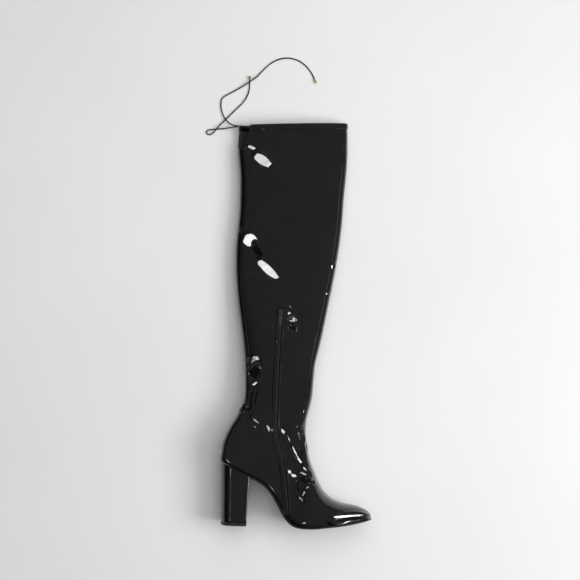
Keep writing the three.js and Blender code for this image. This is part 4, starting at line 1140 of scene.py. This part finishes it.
# Shares of a stitch's length along it, and of its radius over the sheet and round it
STITCH_STATIONS = [(-share, rise, thick) for share, rise, thick in STITCH_HALF[::-1]] + STITCH_HALF


def make_stitches(name, points, normals, stitch):
    """A row of thread stitches that dip into the sheet at both ends."""
    pitch, length, radius = stitch
    line, _ = evenly(np.hstack([points, normals]), pitch)
    ahead = unit(np.gradient(line[:, :3], axis=0))
    out = unit(line[:, 3:])
    side = unit(np.cross(ahead, out))
    thread = oval(6, radius)
    tube = capped_tube_faces(len(STITCH_STATIONS), len(thread))
    made, faces = [], []
    for centre, a, o, s in zip(line[:, :3], ahead, out, side):
        first = len(made) * len(STITCH_STATIONS) * len(thread)
        rings = [
            centre + a * share * length + o * rise * radius + thick * (thread @ np.array([s, o]))
            for share, rise, thick in STITCH_STATIONS
        ]
        made.append(np.concatenate(rings))
        faces += [tuple(i + first for i in face) for face in tube]
    make_piece(name, np.concatenate(made), faces, THREAD)


def make_hem_stitches():
    t = collar_t(HEM_SEAM[:1])
    fs = hem_places(t[0])[None, 1:-3]
    points, normals = shell_points(t, fs, np.full(fs.shape, HEM_SEAM[1]))
    make_stitches("hem_stitches", points[0], normals[0], STITCH)


def make_slit_stitches():
    inward = SLIT_COLUMN - 4
    rows = slice(SLIT_ROW - 4, len(SKIN_T) - 7)
    make_stitches("slit_stitches", SKIN[rows, inward], SKIN_NORMALS[rows, inward], STITCH)


# Zip: tape and coil in the channel, and the two folded edges of the sheet beside them


def zip_frames(first=0.0, last=1.0, step=1.0):
    flat, length = evenly(ZIP_PATH, step)
    count = len(flat)
    keep = flat[int(first * (count - 1)) : int(math.ceil(last * (count - 1))) + 1]
    points, normals = on_skin(keep)
    points, normals = eased(points, 6), unit(eased(normals, 16))
    down = unit(np.gradient(points, axis=0))
    across = unit(np.cross(normals, down))
    return points, across, unit(np.cross(down, across)), length


TAPE_PROFILE = [(-4.2, -0.75), (-4.2, -1.2), (4.2, -1.2), (4.2, -0.75), (1.5, -0.68), (-1.5, -0.68)]
COIL_HALF = [(0.3, 0.2), (0.9, 0.18), (1.45, -0.02), (1.75, -0.45), (1.75, -0.95)]
COIL_MIDDLE = (0, 0.08)
COIL_PITCH = 1.35
COIL_GROOVE = 0.32  # depth between two teeth


def make_zip_tape():
    points, across, out, _ = zip_frames()
    rings = sweep(points, across, out, TAPE_PROFILE)
    piece = make_piece("zip_tapes", rings, capped_tube_faces(len(points), 6), TAPE)
    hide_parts("zip_strip")


def make_zip_coil():
    """Closed nylon coil: rounded teeth side by side, with the groove where the two halves meet."""
    points, across, out, length = zip_frames(0.02, 0.995, 0.33)
    places = np.linspace(0, length, len(points))
    tooth = 0.5 + 0.5 * np.cos(places / COIL_PITCH * 2 * math.pi)
    shape = np.array([*((-x, z) for x, z in COIL_HALF[::-1]), COIL_MIDDLE, *COIL_HALF])
    profiles = np.repeat(shape[None], len(points), axis=0)
    profiles[:, 1:-1, 1] -= COIL_GROOVE * (1 - tooth)[:, None]
    rings = sweep(points, across, out, profiles)
    piece = make_piece("zip_coil", rings, capped_tube_faces(len(points), len(shape)), COIL)
    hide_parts("zip_strip")


LIP_PROFILE = [  # distance from the zip's middle, and height over the skin
    (LIP_INNER + 0.35, -0.85), (LIP_INNER + 0.02, -0.45), (LIP_INNER, 0.0), (LIP_INNER + 0.12, 0.4),
    (LIP_INNER + 0.45, 0.72), (LIP_INNER + 0.95, 0.9), (3.9, 0.94), (4.6, 0.82), (5.2, 0.5), (5.7, 0.15),
    (LIP_OUTER, -0.12), (LIP_OUTER + 0.1, -0.7), (4.2, -0.95),
]
LIP_SEAM = (4.9, 0.66)
LIP_CRINKLES = (  # side, first and last share of the zip, height and pitch
    (-1, 0.03, 0.2, 0.35, 4.4),
    (1, 0.0, 0.1, 0.2, 3.2),
    (-1, 0.52, 0.68, 0.3, 3.6),
    (1, 0.5, 0.6, 0.22, 4.0),
)


def make_zip_lip(name, sign):
    points, across, out, length = zip_frames()
    share = np.linspace(0, 1, len(points))
    rise = 0.06 * np.sin(share * length / 9) + 0.04 * np.sin(share * length / 3.7)
    shift = 0.1 * np.sin(share * length / 14 + sign)
    for side, first, last, height, pitch in LIP_CRINKLES:
        if side == sign:
            zone = smooth_step((share - first) / 0.03) * smooth_step((last - share) / 0.03)
            rise = rise + zone * height * np.sin(share * length / pitch * 2 * math.pi)
    shape = np.array(LIP_PROFILE)
    profiles = np.repeat(shape[None], len(points), axis=0)
    top = shape[:, 1] > 0.3
    profiles[:, top, 1] += rise[:, None]
    profiles[:, :, 0] += shift[:, None]
    ends = smooth_step(np.minimum(share, 1.02 - share) / 0.012)
    profiles[:, top, 1] *= ends[:, None]
    profiles[:, :, 0] *= sign
    if sign < 0:
        profiles = profiles[:, ::-1]
    rings = sweep(points, across, out, profiles)
    make_piece(name, rings, capped_tube_faces(len(points), len(shape)), PATENT)
    seam = points + across * sign * LIP_SEAM[0] + out * LIP_SEAM[1]
    make_stitches(name + "_stitches", seam[4:-3], out[4:-3], FINE_STITCH)


BAR_PROFILE = [(-1.3, -0.6), (-1.2, 0.3), (-0.6, 0.75), (0.2, 0.85), (0.9, 0.55), (1.3, -0.6)]
BAR_HALF = 5.4
BAR_ARCH = 1.6
BAR_DROP = 0.6


def make_zip_top():
    """Small bar over the zip's top end, where its two edges meet."""
    points, across, out, _ = zip_frames(0, 0.02)
    up = -unit(points[3] - points[0])
    s = np.linspace(-1, 1, 25)[:, None]
    line = points[0] + across[0] * s * BAR_HALF + up * (BAR_ARCH * (1 - s * s) - BAR_DROP)
    side = unit(np.cross(out[0], unit(np.gradient(line, axis=0))))
    rings = sweep(line, side, np.repeat(out[:1], len(line), axis=0), BAR_PROFILE)
    make_piece("zip_top_fold", rings, capped_tube_faces(len(line), 6), PATENT)


# Slider and pull tab, in the slider's own frame: X across the zip, Y up it, Z out, from the pin
SLIDER_OUTLINE = [(2.74, -6.38), (3.8, 2.31), (2.09, 4.62), (-2.09, 4.62), (-3.8, 2.31), (-2.74, -6.38)]
SLIDER_TOP = -2.9
SLIDER_FOOT = -5.5
NECK_SHARE = (0.78, 0.95)  # of the outline, between the two plates
EAR_PLACE = 2.6
EAR_WIDTH = 1.1
EAR_HALF = 1.3
PIN_STATIONS = [(-3.3, 0.45), (-3.12, 0.68), (3.12, 0.68), (3.3, 0.45)]  # place along it and radius
EYE_EDGE = [(1.45, 1.17), (1.6, 1.32), (1.6, 2.22), (1.38, 2.43)]  # place along the pin and radius
TAB_HALF = 2.5
TAB_END = -21
TAB_THICKNESS = 0.84
TAB_SHOULDER = [(2.5, -5.75), (1.6, -3.75), (1.6, -1.7)]
BEAD_RADIUS = 0.27
BEAD_INSET = 0.3
BEAD_LEVEL = 0.33
BEAD_SHOULDER = [(2.2, -6.1), (1.35, -4.4)]
PULL_TILT = 11  # degrees that the resting pull leans down to the zip


def slider_frame():
    """Pin's middle in boot millimetres and the slider's axes, from the hinge and the CAD slider."""
    joint = frame["joints"][0]
    across = -unit(joint["axis"])
    plates = frame["nodes"]["zip_slider"].data.polygons
    out = np.array(max((p for p in plates if p.normal.z > 0.8), key=lambda p: p.area).normal)
    out = unit(out - across * out.dot(across))
    return np.array(joint["pos_m"]) / MM - ORIGIN, across, unit(np.cross(out, across)), out


def on_slider(points, tilt=0):
    pin, across, up, out = slider_frame()
    c, s = math.cos(math.radians(tilt)), math.sin(math.radians(tilt))
    x, y, z = np.asarray(points, float).T[..., None]
    return pin + x * across + (y * c - z * s) * up + (y * s + z * c) * out


def softened(outline, passes=2):
    """An outline with its corners cut off."""
    outline = np.asarray(outline, float)
    for _ in range(passes):
        ahead = np.roll(outline, -1, axis=0)
        cut = [outline * 0.75 + ahead * 0.25, outline * 0.25 + ahead * 0.75]
        outline = np.stack(cut, axis=1).reshape(-1, 2)
    return outline


def inwards_of(outline):
    """Unit directions into an outline that runs counter-clockwise."""
    ahead = unit(np.roll(outline, -1, axis=0) - np.roll(outline, 1, axis=0))
    return np.stack([-ahead[:, 1], ahead[:, 0]], axis=1)


def bevelled(outline, low, high, bevel):
    """Points and faces of a plate with bevelled edges. Its outline runs counter-clockwise."""
    outline = np.asarray(outline, float)
    inner = outline + inwards_of(outline) * bevel
    rings = [(inner, low), (outline, low + bevel), (outline, high - bevel), (inner, high)]
    points = np.concatenate([np.column_stack([ring, np.full(len(ring), z)]) for ring, z in rings])
    return points, capped_tube_faces(4, len(outline))


def closed_ring(rings):
    """Points and faces of a ring-shaped tube from its cross sections."""
    rows, columns = rings.shape[:2]
    faces = grid_faces(rows + 1, columns, wrap=True)
    return rings.reshape(-1, 3), [tuple(i % (rows * columns) for i in quad) for quad in faces]


def joined(solids):
    """Several solids as one list of points and one of faces, all facing outwards."""
    all_points, all_faces = [], []
    for points, faces in solids:
        outward = signed_volume(points, faces) > 0
        first = sum(len(p) for p in all_points)
        all_faces += [tuple(i + first for i in (f if outward else f[::-1])) for f in faces]
        all_points.append(points)
    return np.concatenate(all_points), all_faces


def make_slider():
    plate = softened(SLIDER_OUTLINE)
    solids = [
        bevelled(plate, SLIDER_TOP - 0.95, SLIDER_TOP, 0.28),
        bevelled(plate, SLIDER_FOOT, SLIDER_FOOT + 0.85, 0.2),
        bevelled(plate * NECK_SHARE, SLIDER_FOOT + 0.7, SLIDER_TOP - 0.8, 0.02),
    ]
    turn = np.linspace(0, math.pi, 13)
    root = SLIDER_TOP - 0.3
    ear = [(EAR_HALF, root), *zip(EAR_HALF * np.cos(turn), 1.1 * np.sin(turn) - 0.1), (-EAR_HALF, root)]
    for middle in (-EAR_PLACE, EAR_PLACE):
        points, faces = bevelled(ear, middle - EAR_WIDTH / 2, middle + EAR_WIDTH / 2, 0.18)
        solids.append((points[:, [2, 0, 1]], faces))
    pin = [np.column_stack([np.full(20, x), oval(20, radius)]) for x, radius in PIN_STATIONS]
    solids.append((np.concatenate(pin), capped_tube_faces(len(pin), 20)))
    points, faces = joined(solids)
    piece = make_piece("slider_shaped", on_slider(points), faces, LACQUER, smooth=False)
    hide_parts("zip_slider")


def tab_outline(half, shoulder):
    """Outline of the pull's tab: a half round end, and its shoulder mirrored."""
    turn = np.linspace(math.pi, 2 * math.pi, 19)
    end = list(zip(half * np.cos(turn), TAB_END + TAB_HALF + half * np.sin(turn)))
    return np.array(end + shoulder + [(-x, y) for x, y in shoulder[::-1]])


def make_pull():
    half = TAB_THICKNESS / 2
    solids = [bevelled(tab_outline(TAB_HALF, TAB_SHOULDER), -half, half, 0.12)]
    loop = softened(tab_outline(TAB_HALF - BEAD_INSET, BEAD_SHOULDER), 1)
    for level in (-BEAD_LEVEL, BEAD_LEVEL):
        beads = [
            np.column_stack([loop + inwards_of(loop) * out, np.full(len(loop), level + up)])
            for out, up in oval(8, BEAD_RADIUS)
        ]
        solids.append(closed_ring(np.stack(beads, axis=1)))
    profile = EYE_EDGE + [(-x, radius) for x, radius in EYE_EDGE[::-1]]
    rings = [[(x, radius * c, radius * s) for x, radius in profile] for c, s in oval(32, 1)]
    solids.append(closed_ring(np.array(rings)))
    points, faces = joined(solids)
    tilted = on_slider(points, PULL_TILT)
    piece = make_piece("pull_shaped", tilted, faces, LACQUER, body="pull", smooth=False)
    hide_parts("zip_pull")


# Counter: the overlay round the back of the foot
COUNTER_SEAM = [
    (0.134, 0.839), (0.17, 0.732), (0.203, 0.631), (0.28, 0.522), (0.348, 0.424), (0.384, 0.332),
    (0.393, 0.244), (0.391, 0.185),
]
COUNTER_PATH = catmull_rom([(x * FOOT_LENGTH, y * ANKLE_HEIGHT) for x, y in COUNTER_SEAM], 8)


def counter_reach(t):
    """Ring place where a section crosses the counter's seam, or None."""
    fs = np.linspace(0, 1, 240)
    points = base([t], fs)[0]
    signed, _ = line_distance(points[:, 0], points[:, 1], COUNTER_PATH)
    behind = signed < 0
    crossings = np.flatnonzero(behind[1:] & ~behind[:-1])
    if not len(crossings):
        return None
    i = crossings[-1]
    share = signed[i] / (signed[i] - signed[i + 1])
    return fs[i] + (fs[i + 1] - fs[i]) * share


COUNTER_SIDE = 46  # points over each side of a section
COUNTER_BACK = 12  # and round its back
COUNTER_STEP = 0.06
# Share in from the seam, and height over the skin
COUNTER_EDGE = [(0, -0.5), (0.002, 0.35), (0.006, 0.72), (0.014, 0.88), (0.03, 0.92)]
COUNTER_TOP = (-0.5, 0.4, 0.75)  # height of its last rows, from the top edge down


def make_counter():
    ts, reaches = [], []
    for t in np.arange(WAIST_T + 0.15, SEAT_BACK_T + 6, COUNTER_STEP):
        reach = counter_reach(t)
        if reach is not None and reach < 0.995:
            ts.append(t)
            reaches.append(reach)
    edge = len(COUNTER_EDGE)
    edge_shares, edge_rise = np.array(COUNTER_EDGE).T
    shares = np.concatenate([edge_shares, np.linspace(0.05, 1, COUNTER_SIDE - edge)])
    back = np.linspace(1, 2, COUNTER_BACK)[1:-1]
    overs = [reach + (1 - reach) * shares for reach in reaches]
    fs = np.array([np.concatenate([over, back, 3 - over[::-1]]) for over in overs])
    rise = np.full(fs.shape, COUNTER_SHEET)
    rise[:, :edge] = edge_rise
    rise[:, -edge:] = edge_rise[::-1]
    for r, height in enumerate(COUNTER_TOP, 1):
        rise[-r] = np.minimum(rise[-r], height)
    points, normals = shell_points(np.array(ts), fs, rise)
    seat = [t < SEAT_BACK_T - 0.2 for t in ts]
    flat = range(COUNTER_SIDE - 1, COUNTER_SIDE + COUNTER_BACK - 2)
    faces = grid_faces(len(ts), fs.shape[1], skip=lambda r, c: seat[r] and c in flat)
    piece = make_piece("heel_counter", points.reshape(-1, 3), faces, PATENT)
    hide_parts("counter")
    seam = edge + 1
    rows = slice(6, len(ts) - 8, 2)
    make_stitches("counter_stitches", points[rows, seam], normals[rows, seam], FINE_STITCH)


# Sole, heel and top piece


def feather(ts):
    """Lower line of the upper: points, outward normals, middles and half widths of its flat."""
    step = 0.01
    here, before, after = sections_at(ts), sections_at(np.maximum(ts - step, 0)), sections_at(ts + step)
    tangent = unit(after[:, LOW_XY] - before[:, LOW_XY])
    normal = np.stack([tangent[:, 1], -tangent[:, 0]], axis=1)
    inwards = (normal * chords(here)).sum(axis=1) > 0
    normal = np.where(inwards[:, None], -normal, normal)
    return here[:, LOW_XY], normal, here[:, MIDDLE], here[:, OVER] * here[:, FLAT]


SOLE_STEP = 0.09
TOE_TIP = [(2.6, 1.2), (3.4, 0.9), (4.2, 0.4)]  # half width of the first rings, and how far ahead
SOLE_CORNER = [  # distance in from the edge, and depth under the upper
    (0, 0), (0.05, 0.25), (0.12, 0.9), (0.3, 1.5), (0.75, 2.05), (1.5, 2.35), (3, OUTSOLE_THICKNESS),
]


def make_outsole():
    """Outsole with a bevelled, slightly rounded edge, from the toe to the breast of the heel."""
    ts = np.concatenate([[0] * len(TOE_TIP), np.arange(0.06, BREAST_T + 0.4, SOLE_STEP)])
    low, normal, middle, half = feather(ts)
    half = half + SOLE_EDGE
    forward = np.zeros(len(ts))
    half[: len(TOE_TIP)], forward[: len(TOE_TIP)] = np.array(TOE_TIP).T
    rings = []
    for (x, y), (nx, ny), m, h, ahead in zip(low, normal, middle, half, forward):
        ring = [(-h + inset, depth) for inset, depth in SOLE_CORNER]
        ring += [(share * (h - 3), OUTSOLE_THICKNESS) for share in (-0.6, -0.2, 0.2, 0.6)]
        ring += [(h - inset, depth) for inset, depth in SOLE_CORNER[::-1]]
        ring += [(share * h, 0) for share in (0.5, 0, -0.5)]
        rings += [(x + nx * (GAP + depth) + ahead, y + ny * (GAP + depth), m + z) for z, depth in ring]
    points = np.array(rings)
    points[:, 0] = np.maximum(points[:, 0], HEEL_SEAT_LENGTH - HEEL_OVERHANG + GAP)
    count = len(points) // len(ts)
    piece = make_piece("outsole_shaped", points, capped_tube_faces(len(ts), count), RUBBER)
    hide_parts("outsole")


BACK_ROUND_SHARE = 0.55
BACK_ROUND_POWER = 3.4
SEAT_GAP = 1.3 * GAP  # over the heel block, where the seat slopes


def block_half(share, width):
    inside = np.clip(1 - share / BACK_ROUND_SHARE, 0, 1)
    return width / 2 * np.sqrt(np.maximum(1 - inside**BACK_ROUND_POWER, 0))


def seat_height(x):
    ts = np.linspace(BREAST_T - 1, SEAT_BACK_T, 200)
    low, _, _, _ = feather(ts)
    return np.interp(x, low[::-1, 0], low[::-1, 1])


BLOCK_SIDE = [(0.7, 0), (0.85, 0), (0.95, 0), (0.985, 0.25), (0.997, 0.75), (1, 1.5)]  # share, rounding


def block_ring(level, inset, height):
    """D outline of the heel at a level from 0 at its foot to 1 at the seat, its corners rounded."""
    length = HEEL_BASE_LENGTH + (HEEL_SEAT_LENGTH - HEEL_BASE_LENGTH) * level
    width = HEEL_BASE_WIDTH + (HEEL_SEAT_WIDTH - HEEL_BASE_WIDTH) * level
    back = BACK_ROUND_SHARE * (1 - np.cos(np.linspace(0, math.pi / 2, 22))) + 0.0005
    side, corner = np.array(BLOCK_SIDE).T
    shares = np.concatenate([back, side])
    round_off = np.concatenate([np.zeros(len(back)), corner])
    x = shares * length - HEEL_OVERHANG * level - inset * (2 * shares - 1)
    half = block_half(shares, width - 2 * inset) - round_off
    y = height(x)
    middle = foot_middle(x)
    over = np.stack([x, y, middle + half], axis=1)
    under = np.stack([x, y, middle - half], axis=1)[::-1]
    return np.concatenate([over, under])


def block_piece(name, levels, material, node):
    rings = [block_ring(*level) for level in levels]
    count = len(rings[0])
    faces = grid_faces(len(rings), count, wrap=True)
    last = (len(rings) - 1) * count
    for i in range(count // 2 - 1):
        j = count - 1 - i
        faces.append((i, i + 1, j - 1, j))
        faces.append((last + i, last + j, last + j - 1, last + i + 1))
    piece = make_piece(name, np.concatenate(rings), faces, material)
    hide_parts(node)


def make_heel():
    foot = TOP_PIECE_THICKNESS + GAP
    steps = [(0, 0.6), (0.004, 0.25), (0.012, 0.05), (0.03, 0)]
    steps += [(share, 0) for share in np.linspace(0.06, 0.97, 26)]
    steps += [(0.985, 0), (0.994, 0.15), (1, 0.5)]
    levels = [
        (share, inset, lambda x, share=share: foot + (seat_height(x) - SEAT_GAP - foot) * share)
        for share, inset in steps
    ]
    block_piece("heel_covered", levels, HEEL_PATENT, "heel_block")


def make_top_piece():
    steps = [
        (0, 0.9), (0.12, 0.25), (0.5, 0), (2.4, 0), (2.55, 0.12), (2.75, 0.12), (2.9, 0), (4.7, 0),
        (TOP_PIECE_THICKNESS, 0.3),
    ]
    levels = [
        (0, TOP_PIECE_INSET + inset, lambda x, height=height: np.full_like(x, height))
        for height, inset in steps
    ]
    block_piece("top_piece_shaped", levels, RUBBER, "top_piece")


make_skin()
make_lining()
make_slit_edge()
make_slit_stitches()
make_hem()
make_hem_stitches()
make_zip_tape()
make_zip_coil()
make_zip_lip("zip_lip_back", -1)
make_zip_lip("zip_lip_front", 1)
make_zip_top()
make_slider()
make_pull()
make_counter()
make_outsole()
make_heel()
make_top_piece()
frame["nodes"]["insole"].data.materials.clear()
frame["nodes"]["insole"].data.materials.append(LINING)


FLOOR_SIZE = 8
FLOOR_LEVEL = -0.0002  # just under the boot


def make_floor():
    finish = Finish("floor")
    finish.tint(finish.noise(3, 3), (0.3, (0.86,)), (0.7, (0.9,)))
    set_values(finish.shader, Roughness=0.9, Specular_IOR_Level=0.1)
    bpy.ops.mesh.primitive_plane_add(size=FLOOR_SIZE, location=(0, 0, FLOOR_LEVEL))
    floor = bpy.context.object
    floor.name = "floor"
    floor.data.materials.append(finish.material)


def make_light(name):
    light = LIGHTS[name]
    place, away = light_place(name)
    if light["aim"]:
        away = unit(place - np.array([*light["aim"], VIEW_LEVEL]))
    data = bpy.data.lights.new(name, "AREA")
    data.shape = "RECTANGLE"
    data.size, data.size_y = light["size"]
    data.energy = light["power"]
    data.spread = math.radians(light["spread"])
    piece = bpy.data.objects.new(name, data)
    piece.location = row(place)
    across = Vector((-away[1], away[0], 0)).normalized()
    turn = Matrix((across, Vector(away).cross(across), away)).transposed()
    piece.rotation_mode = "QUATERNION"
    piece.rotation_quaternion = turn.to_quaternion()
    piece.visible_glossy = light["glossy"]
    piece.visible_diffuse = not light["glossy"]
    piece.visible_camera = False
    bpy.context.scene.collection.objects.link(piece)


ROOM_BRIGHT_SIDE = (0.3, 0.33, 0.9)  # direction of the bright end of the room
WORLD_STOPS = [(0.0, 0.008), (0.25, 0.03), (0.45, 0.11), (0.62, 0.23), (0.75, 0.25), (1, 0.26)]


def make_world():
    """A room that is brighter towards the main light and dark on the far side."""
    world = bpy.data.worlds.new("studio")
    world.use_nodes = True
    tree = world.node_tree
    nodes, links = tree.nodes, tree.links
    coordinates = nodes.new("ShaderNodeTexCoord")
    toward = nodes.new("ShaderNodeVectorMath")
    toward.operation = "DOT_PRODUCT"
    toward.inputs[1].default_value = unit(ROOM_BRIGHT_SIDE)
    links.new(coordinates.outputs["Generated"], toward.inputs[0])
    tone = add_ramp(tree, toward.outputs["Value"], [(place, (level,)) for place, level in WORLD_STOPS])
    links.new(tone, nodes["Background"].inputs["Color"])
    nodes["Background"].inputs["Strength"].default_value = 1
    bpy.context.scene.world = world


make_floor()
for light_name in LIGHTS:
    make_light(light_name)
make_world()
bpy.context.scene.view_settings.view_transform = "Standard"
